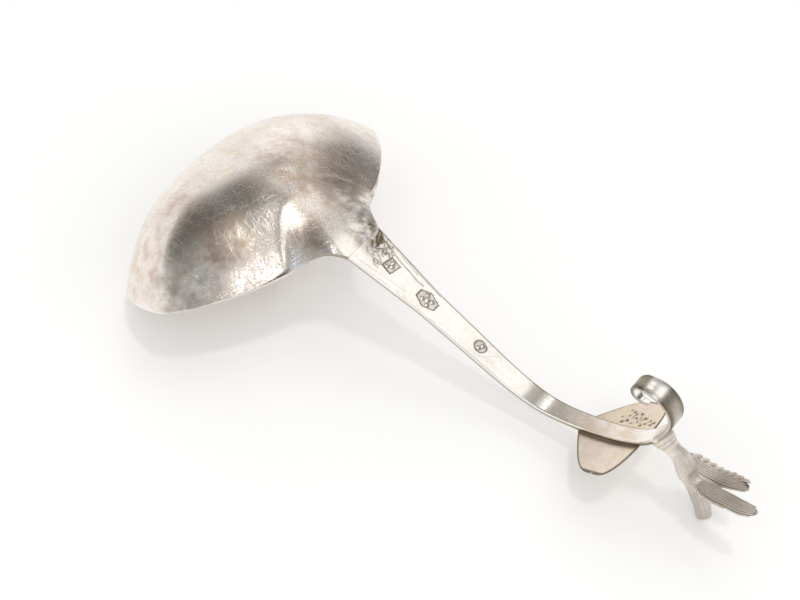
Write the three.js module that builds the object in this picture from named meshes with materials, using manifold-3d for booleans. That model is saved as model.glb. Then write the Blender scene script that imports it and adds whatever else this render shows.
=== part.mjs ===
// Cream spoon in silver, lying face down as it rests on a table.
// Millimetres, +Z up. The bowl points to -X, the cast end ornament to +X, and the plane
// of symmetry of bowl and handle is XZ. Positions are first counted from the place where
// the ornament's foot stands on the table; the finished group is then moved so that its
// origin is the middle of the footprint, on the table.
import * as THREE from 'three';
import { mergeVertices } from 'three/addons/utils/BufferGeometryUtils.js';
import Module from 'manifold-3d';

const wasm = await Module();
wasm.setup();
const v3 = (x, y, z) => new THREE.Vector3(x, y, z);

// Clearance between soldered pieces, where the film of solder lies
const SOLDER_GAP = 0.3;

// Points of one mesh that lie closer together than this are one point
const WELD = 1e-4;

// Bowl: the rim is an oval that is blunter in front, wider than it is long
const BOWL_REACH = 122.5;
const BOWL_HEIGHT = 13.06;
const BOWL_TILT = THREE.MathUtils.degToRad(24.2);
const BOWL_FRONT = 31.2;
const BOWL_BACK = 24.5;
const BOWL_HALF_WIDTH = 38.7;
const FRONT_ROUNDNESS = 2.3;
const BACK_ROUNDNESS = 1.6;
const BOWL_DEPTH = 16.7;
const BOWL_FULLNESS = 3.1;
const RIM_SAG = 3.5;
const APEX_SHIFT = 4.0;
const BOWL_WALL = 1.0;
const RIM_BAND = 0.3;

// Tongue: the narrow end of the bowl that takes the handle
const TONGUE_LENGTH = 7.2;
const TONGUE_HALF_WIDTH = 5.7;
const TONGUE_SLOPE = 0.93;
const TONGUE_EASE = 0.016;
const TONGUE_LIFT = 0.5;
const TONGUE_FLANK = [0.1, 0.045];
const TONGUE_FLANK_START = [5.7, 2.5];
const TONGUE_FLANK_REACH = 10;
const FLARE_SPREAD = THREE.MathUtils.degToRad(12);
const TONGUE_BLEND = 1.0;
const TONGUE_BLEND_FROM = 4;
const TONGUE_THINNING = 1.7;
const NECK_BLEND = [0.3, 0.7];
const NECK_FILLET = 8;
const RIM_FILLET = 0.5;
const RIM_FILLET_FROM = [6, 14];

// Handle: a strip that narrows, bends up and rolls over into a scroll
const HANDLE_THICKNESS = 1.3;
const SCROLL_THICKNESS = 1.0;
const CURL_TIP_THICKNESS = 0.6;
const HANDLE_BEVEL = 0.35;
const BEVEL_LIMIT = 0.6;
const TAPER_X = -75;
const TAPER_HALF_WIDTH = 3.6;
const NARROWEST_X = -38;
const NARROWEST_HALF_WIDTH = 2.3;
const SCROLL_ROOT_HALF_WIDTH = 2.1;
const SCROLL_HALF_WIDTH = 2.45;
const CURL_HALF_WIDTH = 2.2;
const CURL_TIP_HALF_WIDTH = 0.5;
const SCROLL_CENTRE_X = -17.6;
const SCROLL_CENTRE_Z = 27.4;
const SCROLL_RADIUS = 5.9;
const CURL_CENTRE_X = -18.8;
const CURL_CENTRE_Z = 30.2;
const CURL_RADIUS = 3.2;
const CURL_TIP_RADIUS = 2.7;

// Where the handle's sizes change, as shares of its straight run and of its scroll
const STRAIGHT_SHARES = [0, 0.1, 0.4, 0.7];
const SCROLL_ANGLES = [-14, 12, 38, 64, 90];
const CURL_ANGLES = [125, 165, 205, 245, 285];
const WIDEST_FROM = 0.2;
const WIDEST_TO = 0.55;
const CURL_FROM = 0.68;
const THINNED_FROM = 0.3;

// Bend: the handle's middle line from its straight run to the root of the scroll
const BEND = [
  [-52.9, 9.5], [-47.4, 7.9], [-42.1, 7.2], [-36.9, 7.7], [-31.8, 8.9], [-26.7, 10.6],
  [-21.8, 12.8], [-17.4, 15.8], [-14.2, 19.8],
];

// Saddle: a thin petal-shaped plate soldered across the underside of the handle
const SADDLE_HALF_SPAN = 11.8;
const SADDLE_BACK_X = -33.2;
const SADDLE_FRONT_X = -17.4;
const SADDLE_SWEEP = 0.62;
const SADDLE_ROUNDING = 0.005;
const SADDLE_SKEW = 0.08;
const SADDLE_THICKNESS = 0.7;
const SADDLE_FULLNESS = 4;
const SADDLE_END_ROW = 0.25;

// Ornament: a collar that stands on the outside of the bend, and the body after it
const COLLAR_X = -14.3;
const COLLAR_LENGTH = 4.6;
const COLLAR_OVERLAP = 1.2;
const COLLAR_WIDE_RADIUS = 3.4;
const COLLAR_NARROW_RADIUS = 1.7;
const COLLAR_HALF_WIDTH = 2.4;
const COLLAR_DEPTHS = [
  [0, COLLAR_WIDE_RADIUS], [0.25, COLLAR_WIDE_RADIUS], [0.7, COLLAR_NARROW_RADIUS],
];
const TRUNK_LEAD = 1.2;
const TRUNK_WIDTHS = [[0, COLLAR_NARROW_RADIUS], [0.35, 3.0], [0.6, 2.6], [1, 0.7]];
const TRUNK_DEPTHS = [[0, COLLAR_NARROW_RADIUS], [0.35, 1.9], [0.6, 1.2], [1, 0.5]];
const TRUNK_LINE = [v3(-5.4, 0, 12.5), v3(-2.0, 0, 12.1), v3(1.6, 0, 12.7)];

// Foot prong: a flat tongue that bends down from the body to the table
const FOOT_X = -0.4;
const FOOT_Y = 0.7;
const FOOT_TURN = THREE.MathUtils.degToRad(40);
const PRONG_WIDTHS = [[0.3, 1.9], [0.85, 1.9], [1, 1.5]];
const PRONG_DEPTHS = [[0, 1.4], [0.3, 1.3], [0.55, 1.0], [1, 0.9]];
const PRONG_LINE = [
  v3(-7.0, 0, 13.0), v3(-5.2, 0, 10.6), v3(-3.2, 0, 7.4), v3(-1.7, 0.3, 4.0),
  v3(FOOT_X, FOOT_Y, 0),
];

// Wings: middle lines from the root to the tip, and shares of the width and thickness
const WING_HALF_WIDTH = 2.1;
const WING_THICKNESS = 1.3;
const WING_LEAN = 0.25;
const WING_OUTLINE = [[0, 0.55], [0.12, 0.9], [0.35, 1], [0.75, 0.95], [0.92, 0.7], [1, 0.3]];
const WING_SECTION = [[0, 0.8], [0.2, 1], [0.8, 0.8], [1, 0.5]];
const FAR_WING = [
  v3(-8.7, 1.5, 15.1), v3(-6.4, 1.9, 14.2), v3(-3.4, 2.3, 13.3), v3(0.1, 2.5, 13.1),
  v3(3.4, 2.6, 14.2), v3(6.8, 2.8, 15.0),
];
const NEAR_WING = [
  v3(-2.8, -1.7, 13.2), v3(0.7, -2.1, 13.6), v3(4.4, -2.4, 14.5), v3(7.7, -2.7, 15.3),
  v3(11.4, -3.0, 17.2),
];

// Facets
const BOWL_SIDES = 96;
const BOWL_CROWDING = 0.55;
const EDGE_GROWTH = 8;
const BOWL_RINGS = 14;
const TUBE_SIDES = 16;
const PATH_STEPS = 84;
const SADDLE_ROWS = 18;
const SADDLE_COLUMNS = 14;
const COLLAR_STEPS = 8;
const TRUNK_STEPS = 14;
const WING_STEPS = 12;

const { lerp, smoothstep } = THREE.MathUtils;
const smoothMax = (a, b, blend) => 0.5 * (a + b + Math.hypot(a - b, blend));

const silver = (name, colour, roughness) => new THREE.MeshStandardMaterial({
  name, color: colour, roughness, metalness: 1,
});

// A closed body through a list of rings with equal point counts, closed at both ends.
function loft(rings) {
  const count = rings[0].length;
  const positions = rings.flat().flatMap((p) => [p.x, p.y, p.z]);
  const faces = [];
  for (let i = 0; i < rings.length - 1; i += 1) {
    for (let j = 0; j < count; j += 1) {
      const a = i * count + j;
      const b = i * count + ((j + 1) % count);
      faces.push(a, b, b + count, a, b + count, a + count);
    }
  }
  const cap = (ring, first, flip) => {
    const centre = ring.reduce((sum, p) => sum.add(p), v3(0, 0, 0)).divideScalar(count);
    const hub = positions.length / 3;
    positions.push(centre.x, centre.y, centre.z);
    for (let j = 0; j < count; j += 1) {
      const a = first + j;
      const b = first + ((j + 1) % count);
      faces.push(...(flip ? [a, b, hub] : [b, a, hub]));
    }
  };
  cap(rings[0], 0, false);
  cap(rings.at(-1), (rings.length - 1) * count, true);
  const geometry = new THREE.BufferGeometry();
  geometry.setAttribute('position', new THREE.Float32BufferAttribute(positions, 3));
  geometry.setIndex(signedVolume(positions, faces) < 0 ? faces.reverse() : faces);
  return mergeVertices(geometry, WELD);
}

// A solid back as a mesh geometry.
function toGeometry(solid) {
  const mesh = solid.getMesh();
  const geometry = new THREE.BufferGeometry();
  geometry.setAttribute('position', new THREE.BufferAttribute(mesh.vertProperties, 3));
  geometry.setIndex(new THREE.BufferAttribute(mesh.triVerts, 1));
  return geometry;
}

function toSolid(geometry) {
  const { position } = geometry.attributes;
  return new wasm.Manifold(new wasm.Mesh({
    numProp: 3,
    vertProperties: new Float32Array(position.array),
    triVerts: new Uint32Array(geometry.index.array),
  }));
}

// Six times the volume that the faces enclose, negative when they point inwards.
function signedVolume(positions, faces) {
  const point = (i) => v3(positions[3 * i], positions[3 * i + 1], positions[3 * i + 2]);
  let volume = 0;
  for (let i = 0; i < faces.length; i += 3) {
    const [a, b, c] = [point(faces[i]), point(faces[i + 1]), point(faces[i + 2])];
    volume += a.dot(b.cross(c));
  }
  return volume;
}

// Value at x on straight lines through the stops of a short list of [x, value] pairs.
function between(stops, x) {
  const next = stops.findIndex(([at]) => at >= x);
  if (next <= 0) return next === 0 ? stops[0][1] : stops.at(-1)[1];
  const [[x0, y0], [x1, y1]] = stops.slice(next - 1, next + 1);
  return lerp(y0, y1, (x - x0) / (x1 - x0));
}

// Bowl coordinates: u to the front, v across, w out of the back, all from its centre.
function fromBowl(u, v, w) {
  const [c, s] = [Math.cos(BOWL_TILT), Math.sin(BOWL_TILT)];
  return v3(-BOWL_REACH - (u * c + w * s), v, BOWL_HEIGHT - u * s + w * c);
}

// Oval rim radius at an angle, counted from the front, for a wall set in by inset.
function ovalRadius(angle, inset) {
  const front = Math.cos(angle) > 0;
  const length = (front ? BOWL_FRONT : BOWL_BACK) - inset;
  const power = front ? FRONT_ROUNDNESS : BACK_ROUNDNESS;
  const across = Math.abs(Math.sin(angle)) / (BOWL_HALF_WIDTH - inset);
  return (Math.abs(Math.cos(angle) / length) ** power + across ** power) ** (-1 / power);
}

// Outer rim radius: the oval flares out to the corners of the tongue, cut off by its end.
const TONGUE_REACH = BOWL_BACK + TONGUE_LENGTH;
const CORNER_ANGLE = Math.atan2(TONGUE_HALF_WIDTH, TONGUE_REACH);
const FLARE_REACH = Math.hypot(TONGUE_HALF_WIDTH, TONGUE_REACH) - BOWL_BACK;

function rimRadius(angle) {
  const oval = ovalRadius(angle, 0);
  const fromBack = Math.abs(Math.PI - angle);
  if (fromBack < CORNER_ANGLE) return TONGUE_REACH / Math.cos(fromBack);
  return oval + FLARE_REACH * Math.exp((CORNER_ANGLE - fromBack) / FLARE_SPREAD);
}

// Angles round the bowl, drawn together towards the tongue.
const BOWL_ANGLES = Array.from({ length: BOWL_SIDES }, (_, j) => {
  const even = (2 * Math.PI * j) / BOWL_SIDES;
  return even + BOWL_CROWDING * Math.sin(even);
});

// The tongue leaves the bowl in this direction, as shares of -u and -w.
const TONGUE_OUT = [Math.cos(Math.atan(TONGUE_SLOPE)), Math.sin(Math.atan(TONGUE_SLOPE))];

// Height of the tongue's top, which falls away beside the handle's width.
function tongueHeight(u, v) {
  const along = u + TONGUE_REACH;
  const share = THREE.MathUtils.clamp(along / TONGUE_FLANK_REACH, 0, 1);
  const flank = Math.max(0, Math.abs(v) - lerp(...TONGUE_FLANK_START, share));
  const fall = lerp(...TONGUE_FLANK, share) * flank ** 2;
  return TONGUE_LIFT + TONGUE_SLOPE * along - TONGUE_EASE * along ** 2 - fall;
}

// Rise of the neck where tongue and dome meet, which fills the crease between them.
function neckRise(dome, tongue, rho, along) {
  const near = Math.max(0, 1 - Math.abs(dome - tongue) / NECK_FILLET);
  const kept = RIM_FILLET * smoothstep(along, ...RIM_FILLET_FROM);
  return (NECK_FILLET / 4) * near ** 2 * (1 - rho ** 4 * (1 - kept));
}

// One ring of the bowl at a share of the rim radius, for the back or for the hollow.
function bowlRing(share, inset) {
  return BOWL_ANGLES.map((angle) => {
    const oval = ovalRadius(angle, inset);
    const radius = share * (inset === 0 ? rimRadius(angle) : oval);
    const [cos, sin] = [Math.cos(angle), Math.sin(angle)];
    const sag = Math.min(1, Math.abs(radius * cos) / (cos > 0 ? BOWL_FRONT : BOWL_BACK)) ** 2;
    const rho = Math.min(1, radius / oval);
    const u = radius * cos + APEX_SHIFT * (1 - rho ** 2);
    const v = radius * sin;
    const dome = RIM_SAG * (1 - sag) + (BOWL_DEPTH - inset) * (1 - rho ** BOWL_FULLNESS);
    const tongue = tongueHeight(u, v) - (inset > 0 ? TONGUE_THINNING : 0);
    const blend = TONGUE_BLEND * smoothstep(u + TONGUE_REACH, 0, TONGUE_BLEND_FROM);
    const joined = smoothMax(dome, tongue, blend) + neckRise(dome, tongue, rho, u + TONGUE_REACH);
    return [u, v, lerp(dome, joined, smoothstep(-cos, ...NECK_BLEND))];
  });
}

// Shell of the bowl: back, rim edge (as thick as the handle at the tongue) and hollow.
function makeBowl() {
  const shares = Array.from({ length: BOWL_RINGS }, (_, i) => (
    Math.sin((Math.PI / 2) * ((i + 1) / BOWL_RINGS))));
  const back = shares.map((share) => bowlRing(share, 0));
  const hollow = shares.map((share) => bowlRing(share, BOWL_WALL)).reverse();
  const edge = back.at(-1).map(([u, v, w], j) => {
    const flare = rimRadius(BOWL_ANGLES[j]) / ovalRadius(BOWL_ANGLES[j], 0) - 1;
    const tongue = Math.min(1, flare * EDGE_GROWTH);
    const down = lerp(RIM_BAND, HANDLE_THICKNESS, tongue);
    return [u + down * TONGUE_OUT[1] * tongue, v, w - down * lerp(1, TONGUE_OUT[0], tongue)];
  });
  const rings = [...back, edge, ...hollow];
  return loft(rings.map((ring) => ring.map(([u, v, w]) => fromBowl(u, v, w))));
}

// Handle's middle line in the XZ plane, from the tongue to the tip of the curl.
function handlePath() {
  const [u, , w] = bowlRing(1, 0)[BOWL_SIDES / 2];
  const half = HANDLE_THICKNESS / 2;
  const start = fromBowl(
    u - SOLDER_GAP * TONGUE_OUT[0] + half * TONGUE_OUT[1],
    0,
    w - SOLDER_GAP * TONGUE_OUT[1] - half * TONGUE_OUT[0],
  );
  const bend = BEND.map(([x, z]) => v3(x, 0, z));
  const straight = STRAIGHT_SHARES.map((t) => start.clone().lerp(bend[0], t));
  const scroll = SCROLL_ANGLES.map((degrees) => (
    onCircle(SCROLL_CENTRE_X, SCROLL_CENTRE_Z, SCROLL_RADIUS, degrees)));
  const curl = CURL_ANGLES.map((degrees, i) => {
    const radius = lerp(CURL_RADIUS, CURL_TIP_RADIUS, i / (CURL_ANGLES.length - 1));
    return onCircle(CURL_CENTRE_X, CURL_CENTRE_Z, radius, degrees);
  });
  const points = [...straight, ...bend, ...scroll, ...curl];
  return new THREE.CatmullRomCurve3(points, false, 'centripetal');
}

function onCircle(x, z, radius, degrees) {
  const angle = THREE.MathUtils.degToRad(degrees);
  return v3(x + radius * Math.cos(angle), 0, z + radius * Math.sin(angle));
}

const path = handlePath();
path.arcLengthDivisions = 800;

// Share of the handle's length where its middle line passes a given x, before the scroll.
function shareAtX(x) {
  let [low, high] = [0, 0.8];
  for (let i = 0; i < 40; i += 1) {
    const middle = (low + high) / 2;
    if (path.getPointAt(middle).x < x) low = middle;
    else high = middle;
  }
  return low;
}

const scrollShare = shareAtX(BEND.at(-1)[0]);
const inScroll = (t) => scrollShare + (1 - scrollShare) * t;

const WIDTH_STOPS = [
  [0, TONGUE_HALF_WIDTH],
  [shareAtX(TAPER_X), TAPER_HALF_WIDTH],
  [shareAtX(NARROWEST_X), NARROWEST_HALF_WIDTH],
  [inScroll(0), SCROLL_ROOT_HALF_WIDTH],
  [inScroll(WIDEST_FROM), SCROLL_HALF_WIDTH],
  [inScroll(WIDEST_TO), SCROLL_HALF_WIDTH],
  [inScroll(CURL_FROM), CURL_HALF_WIDTH],
  [1, CURL_TIP_HALF_WIDTH],
];

const THICKNESS_STOPS = [
  [0, HANDLE_THICKNESS],
  [inScroll(0), HANDLE_THICKNESS],
  [inScroll(THINNED_FROM), SCROLL_THICKNESS],
  [1, CURL_TIP_THICKNESS],
];

// Rings of the handle's section, grown all round by a clearance where it is a cutter.
function handleRings(grow) {
  const rings = [];
  for (let i = 0; i <= PATH_STEPS; i += 1) {
    const share = i / PATH_STEPS;
    const at = path.getPointAt(share);
    const tangent = path.getTangentAt(share);
    const up = v3(-tangent.z, 0, tangent.x);
    const half = between(WIDTH_STOPS, share) + grow;
    const thick = between(THICKNESS_STOPS, share) / 2 + grow;
    const bevel = Math.min(HANDLE_BEVEL, thick * BEVEL_LIMIT);
    const section = [
      [-half + bevel, thick], [half - bevel, thick], [half, thick - bevel], [half, -thick],
      [-half, -thick], [-half, thick - bevel],
    ];
    rings.push(section.map(([y, n]) => at.clone().addScaledVector(up, n).setY(y)));
  }
  return rings;
}

const makeHandle = () => loft(handleRings(0));

// Underside of the handle at x, straight below its middle line.
function undersideZ(x) {
  const share = shareAtX(x);
  const tangent = path.getTangentAt(share);
  return path.getPointAt(share).z - between(THICKNESS_STOPS, share) / 2 / tangent.x;
}

// Petal-shaped plate along the handle's underside, one ring for each station across it.
function makeSaddle() {
  const rings = [];
  for (let j = 0; j <= SADDLE_ROWS; j += 1) {
    const row = (j + SADDLE_END_ROW) / (SADDLE_ROWS + 2 * SADDLE_END_ROW);
    const across = -Math.cos(Math.PI * row);
    const y = across * SADDLE_HALF_SPAN;
    const back = SADDLE_BACK_X + SADDLE_SWEEP * Math.abs(y);
    const front = SADDLE_FRONT_X - SADDLE_ROUNDING * y * y;
    const reach = (1 - Math.abs(across) ** SADDLE_FULLNESS) ** (1 / SADDLE_FULLNESS);
    const top = Array.from({ length: SADDLE_COLUMNS + 1 }, (_, i) => {
      const along = reach * ((2 * i) / SADDLE_COLUMNS - 1);
      const x = (front + back) / 2 + ((front - back) / 2) * along + SADDLE_SKEW * y;
      return v3(x, y, undersideZ(x) - SOLDER_GAP);
    });
    const bottom = top.map((p) => p.clone().setZ(p.z - SADDLE_THICKNESS)).reverse();
    rings.push([...top, ...bottom]);
  }
  return loft(rings);
}

// Oval ring of a tube about a point, with its own two half sizes and directions.
function ovalRing(centre, side, over, halfSide, halfOver) {
  return Array.from({ length: TUBE_SIDES }, (_, i) => {
    const angle = (2 * Math.PI * i) / TUBE_SIDES;
    return centre.clone()
      .addScaledVector(side, halfSide * Math.cos(angle))
      .addScaledVector(over, halfOver * Math.sin(angle));
  });
}

// Tube along a line near the XZ plane: stops give its half width and half depth on the
// way, and its section turns about the line by the end turn, as the square of the share.
function tubeInPlane(points, sideStops, depthStops, steps, endTurn = 0) {
  const spine = new THREE.CatmullRomCurve3(points, false, 'centripetal');
  return Array.from({ length: steps + 1 }, (_, i) => {
    const share = i / steps;
    const tangent = spine.getTangentAt(share);
    const [c, s] = [Math.cos(endTurn * share ** 2), Math.sin(endTurn * share ** 2)];
    return ovalRing(
      spine.getPointAt(share),
      v3(-tangent.z * s, c, tangent.x * s),
      v3(-tangent.z * c, -s, tangent.x * c),
      between(sideStops, share),
      between(depthStops, share),
    );
  });
}

// The collar stands square on the outside of the bend.
const collarShare = shareAtX(COLLAR_X);
const bendTangent = path.getTangentAt(collarShare);
const collarOut = v3(bendTangent.z, 0, -bendTangent.x);
const collarRoot = path.getPointAt(collarShare)
  .addScaledVector(collarOut, between(THICKNESS_STOPS, collarShare) / 2);
const alongCollar = (distance) => collarRoot.clone().addScaledVector(collarOut, distance);

// Cast collar: a trumpet whose wide mouth is fitted to the strip's curve.
function makeCollar() {
  const trumpet = tubeInPlane(
    [alongCollar(-COLLAR_OVERLAP), alongCollar(COLLAR_LENGTH / 2), alongCollar(COLLAR_LENGTH)],
    [[0, COLLAR_HALF_WIDTH], [1, COLLAR_NARROW_RADIUS]],
    COLLAR_DEPTHS,
    COLLAR_STEPS,
  );
  const strip = toSolid(loft(handleRings(SOLDER_GAP)));
  const cast = toSolid(loft(trumpet)).subtract(strip).decompose();
  return toGeometry(cast.sort((a, b) => b.volume() - a.volume())[0]);
}

// Wing: a feather blade along its middle line; grown all round where it is a cutter.
function makeWing(points, grow) {
  const over = v3(0, -WING_LEAN, 1).normalize();
  const spine = new THREE.CatmullRomCurve3(points, false, 'centripetal');
  const rings = [];
  for (let i = 0; i <= WING_STEPS; i += 1) {
    const share = i / WING_STEPS;
    const tangent = spine.getTangentAt(share);
    const side = tangent.clone().cross(over).normalize();
    const half = WING_HALF_WIDTH * between(WING_OUTLINE, share) + grow;
    const thick = (WING_THICKNESS / 2) * between(WING_SECTION, share) + grow;
    const past = (i === WING_STEPS ? grow : 0) - (i === 0 ? grow : 0);
    const centre = spine.getPointAt(share).addScaledVector(tangent, past);
    rings.push(ovalRing(centre, side, over, half, thick));
  }
  return loft(rings);
}

const makeFarWing = (grow = 0) => makeWing(FAR_WING, grow);
const makeNearWing = (grow = 0) => makeWing(NEAR_WING, grow);

// Body: runs on from the collar under both wings, with the foot prong below it.
function makeBody() {
  const start = COLLAR_LENGTH + SOLDER_GAP;
  const trunk = tubeInPlane(
    [alongCollar(start), alongCollar(start + TRUNK_LEAD), ...TRUNK_LINE],
    TRUNK_WIDTHS,
    TRUNK_DEPTHS,
    TRUNK_STEPS,
  );
  const prong = tubeInPlane(PRONG_LINE, PRONG_WIDTHS, PRONG_DEPTHS, TRUNK_STEPS, FOOT_TURN);
  prong.at(-1).forEach((p) => p.setZ(0));
  return toGeometry(toSolid(loft(trunk))
    .add(toSolid(loft(prong)))
    .subtract(toSolid(makeFarWing(SOLDER_GAP)))
    .subtract(toSolid(makeNearWing(SOLDER_GAP))));
}

const pieces = [
  ['bowl', makeBowl(), silver('worn bowl silver', 0xd8cfc6, 0.3)],
  ['handle_strip', makeHandle(), silver('bright handle silver', 0xe6e2dc, 0.2)],
  ['saddle_plate', makeSaddle(), silver('warm saddle silver', 0xd3c1ae, 0.35)],
  ['neck_collar', makeCollar(), silver('cast collar silver', 0xbfb3a6, 0.4)],
  ['ornament_body', makeBody(), silver('cast body silver', 0xa79d96, 0.5)],
  ['far_wing', makeFarWing(), silver('far wing silver', 0x8e867f, 0.55)],
  ['near_wing', makeNearWing(), silver('near wing silver', 0x8e867f, 0.55)],
];

const spoon = new THREE.Group();
for (const [name, geometry, material] of pieces) {
  const mesh = new THREE.Mesh(geometry, material);
  mesh.name = name;
  spoon.add(mesh);
}

// The origin is the middle of the footprint, on the table.
const box = new THREE.Box3().setFromObject(spoon);
const middle = box.getCenter(v3(0, 0, 0));
spoon.position.set(-middle.x, -middle.y, -box.min.z);

export default spoon;
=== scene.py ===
"""Cream spoon in worn silver, lying face down on a pale table.

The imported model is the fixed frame. Each sub-assembly is drawn again in finer form from the
same sizes, in millimetres from the place where the ornament's foot stands, and is then put
into the model's frame, in metres.
"""
from __future__ import annotations

import logging
import math
from dataclasses import dataclass, field
from enum import Enum
from typing import Callable, Sequence

import bmesh
import bpy
import numpy as np
from mathutils import Matrix

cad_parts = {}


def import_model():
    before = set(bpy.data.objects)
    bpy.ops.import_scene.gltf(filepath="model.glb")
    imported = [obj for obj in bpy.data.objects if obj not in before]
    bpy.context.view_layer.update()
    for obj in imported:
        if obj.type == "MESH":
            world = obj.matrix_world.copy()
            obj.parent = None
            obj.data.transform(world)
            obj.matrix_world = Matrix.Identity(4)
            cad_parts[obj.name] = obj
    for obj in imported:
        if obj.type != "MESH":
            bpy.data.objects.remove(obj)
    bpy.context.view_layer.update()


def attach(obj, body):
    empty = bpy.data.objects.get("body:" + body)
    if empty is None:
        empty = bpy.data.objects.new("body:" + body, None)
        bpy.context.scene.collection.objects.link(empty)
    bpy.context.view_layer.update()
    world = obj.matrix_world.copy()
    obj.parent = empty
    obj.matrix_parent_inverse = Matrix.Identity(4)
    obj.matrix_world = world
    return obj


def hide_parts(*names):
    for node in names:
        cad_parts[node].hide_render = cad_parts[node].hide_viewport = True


LOG = logging.getLogger("cream spoon")
MM = 0.001
BODY = "root"
FOOT_TO_FRAME = np.array([69.804, 0.0, 0.0032])
SHARP_EDGE = math.radians(38.0)
MERGE_DISTANCE = 1e-7
FULL_TURN = 2.0 * math.pi
MARKS = ("grime_and_shade", "wear_and_sheen")

Array = np.ndarray
Stops = Sequence[tuple[float, float]]
Triple = tuple[float, float, float]
Step = tuple[float, float, float, float]
Spots = tuple[tuple[Triple, float, float, float], ...]


# Shader and geometry trees written as sums


class Wire:
    """One output of a node tree, which can be written in sums like a number."""

    def __init__(self, bench: Bench, socket: bpy.types.NodeSocket | None) -> None:
        """Keeps the tree that new nodes go into and the output that the wire stands for."""
        self.bench = bench
        self.socket = socket

    def _sum(self, operation: str, first: Wire | float, second: Wire | float) -> Wire:
        """The result of one Math node."""
        return self.bench.node("ShaderNodeMath", {0: first, 1: second}, operation=operation)

    def __add__(self, other: Wire | float) -> Wire:
        """This plus the other."""
        return self._sum("ADD", self, other)

    __radd__ = __add__

    def __mul__(self, other: Wire | float) -> Wire:
        """This times the other."""
        return self._sum("MULTIPLY", self, other)

    __rmul__ = __mul__

    def __sub__(self, other: Wire | float) -> Wire:
        """This less the other."""
        return self._sum("SUBTRACT", self, other)

    def __rsub__(self, other: Wire | float) -> Wire:
        """The other less this."""
        return self._sum("SUBTRACT", other, self)

    def at_most(self, other: Wire | float) -> Wire:
        """The smaller of this and the other."""
        return self._sum("MINIMUM", self, other)

    def at_least(self, other: Wire | float) -> Wire:
        """The larger of this and the other."""
        return self._sum("MAXIMUM", self, other)

    def step(self, low: float, high: float, start: float = 0.0, end: float = 1.0) -> Wire:
        """A smooth step of this value, from start at low to end at high."""
        values = {"Value": self, "From Min": low, "From Max": high, "To Min": start, "To Max": end}
        return self.bench.node("ShaderNodeMapRange", values, interpolation_type="SMOOTHSTEP")

    def beside(self, name: str) -> Wire:
        """Another output of the same node."""
        return Wire(self.bench, self.socket.node.outputs[name])


@dataclass(frozen=True)
class Cloud:
    """Soft noise: blotches per millimetre, number of finer layers and their strength."""

    scale: float
    layers: float = 3.0
    rough: float = 0.55


class Bench:
    """A node tree under construction."""

    def __init__(self, tree: bpy.types.NodeTree) -> None:
        """Takes a tree over and empties it."""
        self.tree = tree
        tree.nodes.clear()

    def node(
        self,
        kind: str,
        values: dict[str | int, object] | None = None,
        output: str | int = 0,
        **settings: object,
    ) -> Wire:
        """Adds one node of any type.

        Args:
            kind: The node's type.
            values: A wire or a plain value for each socket, by name or number.
            output: The output that is wanted, by name or number.
            settings: The node's own settings, made before its sockets are filled.

        Returns:
            That output.
        """
        made = self.tree.nodes.new(kind)
        for key, value in settings.items():
            setattr(made, key, value)
        for key, value in (values or {}).items():
            socket = self._socket(made.inputs, key)
            if isinstance(value, Wire):
                self.tree.links.new(value.socket, socket)
            else:
                socket.default_value = value
        return Wire(self, self._socket(made.outputs, output) if made.outputs else None)

    @staticmethod
    def _socket(sockets: bpy.types.bpy_prop_collection, key: str | int) -> bpy.types.NodeSocket:
        """Finds a socket by number, by identifier, or by the name of one that is in use.

        Args:
            sockets: A node's inputs or outputs.
            key: What to look for.

        Returns:
            The socket.
        """
        if isinstance(key, int):
            return sockets[key]
        exact = [socket for socket in sockets if socket.identifier == key]
        return (exact or [socket for socket in sockets if socket.name == key and socket.enabled])[0]

    def attribute(self, name: str) -> Wire:
        """A number that the mesh carries at each point."""
        return self.node("ShaderNodeAttribute", output="Fac", attribute_name=name)

    def vector(self, operation: str, first: object, second: object, output: int | str = 0) -> Wire:
        """The result of one Vector Math node."""
        values = {0: first, 1: second}
        return self.node("ShaderNodeVectorMath", values, output, operation=operation)

    def scaled(self, vector: Wire, factor: Wire | float) -> Wire:
        """A vector times a number."""
        values = {0: vector, "Scale": factor}
        return self.node("ShaderNodeVectorMath", values, operation="SCALE")

    def place(self) -> Wire:
        """The place on the piece, in millimetres."""
        return self.scaled(self.node("ShaderNodeTexCoord", output="Object"), 1 / MM)

    def turned(self, vector: Wire, turn: Triple, size: Triple) -> Wire:
        """A place turned about the three axes, in degrees, and then stretched along them."""
        angles = {"Vector": vector, "Rotation": tuple(math.radians(a) for a in turn)}
        values = {"Vector": self.node("ShaderNodeMapping", angles), "Scale": size}
        return self.node("ShaderNodeMapping", values)

    def cloud(self, at: Wire, grain: Cloud) -> Wire:
        """Soft noise from 0 to 1 at a place."""
        values = {"Scale": grain.scale, "Detail": grain.layers, "Roughness": grain.rough}
        return self.node("ShaderNodeTexNoise", {"Vector": at, **values}, "Fac")

    def blend(self, factor: Wire | float, first: Wire | Triple, second: Wire | Triple) -> Wire:
        """A colour between two others, plain or wired; the factor is kept within 0 and 1."""
        values = {"Factor_Float": factor, "A_Color": rgba(first), "B_Color": rgba(second)}
        settings = {"data_type": "RGBA", "clamp_factor": True}
        return self.node("ShaderNodeMix", values, "Result_Color", **settings)

    def patches(self, at: Wire, spots: Spots, mottle: Wire) -> Wire | float:
        """Soft round patches, broken up by a mottle.

        Args:
            at: The place, in millimetres.
            spots: Middle from the foot, full radius, outer radius and strength of each.
            mottle: What breaks them up.

        Returns:
            Their sum, which is 0 outside all of them.
        """
        total: Wire | float = 0.0
        for centre, inner, outer, amount in spots:
            middle = tuple(float(c) for c in np.array(centre) + FOOT_TO_FRAME)
            far = self.vector("DISTANCE", at, middle, "Value")
            total = far.step(inner, outer, amount, 0.0) * mottle + total
        return total


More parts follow.
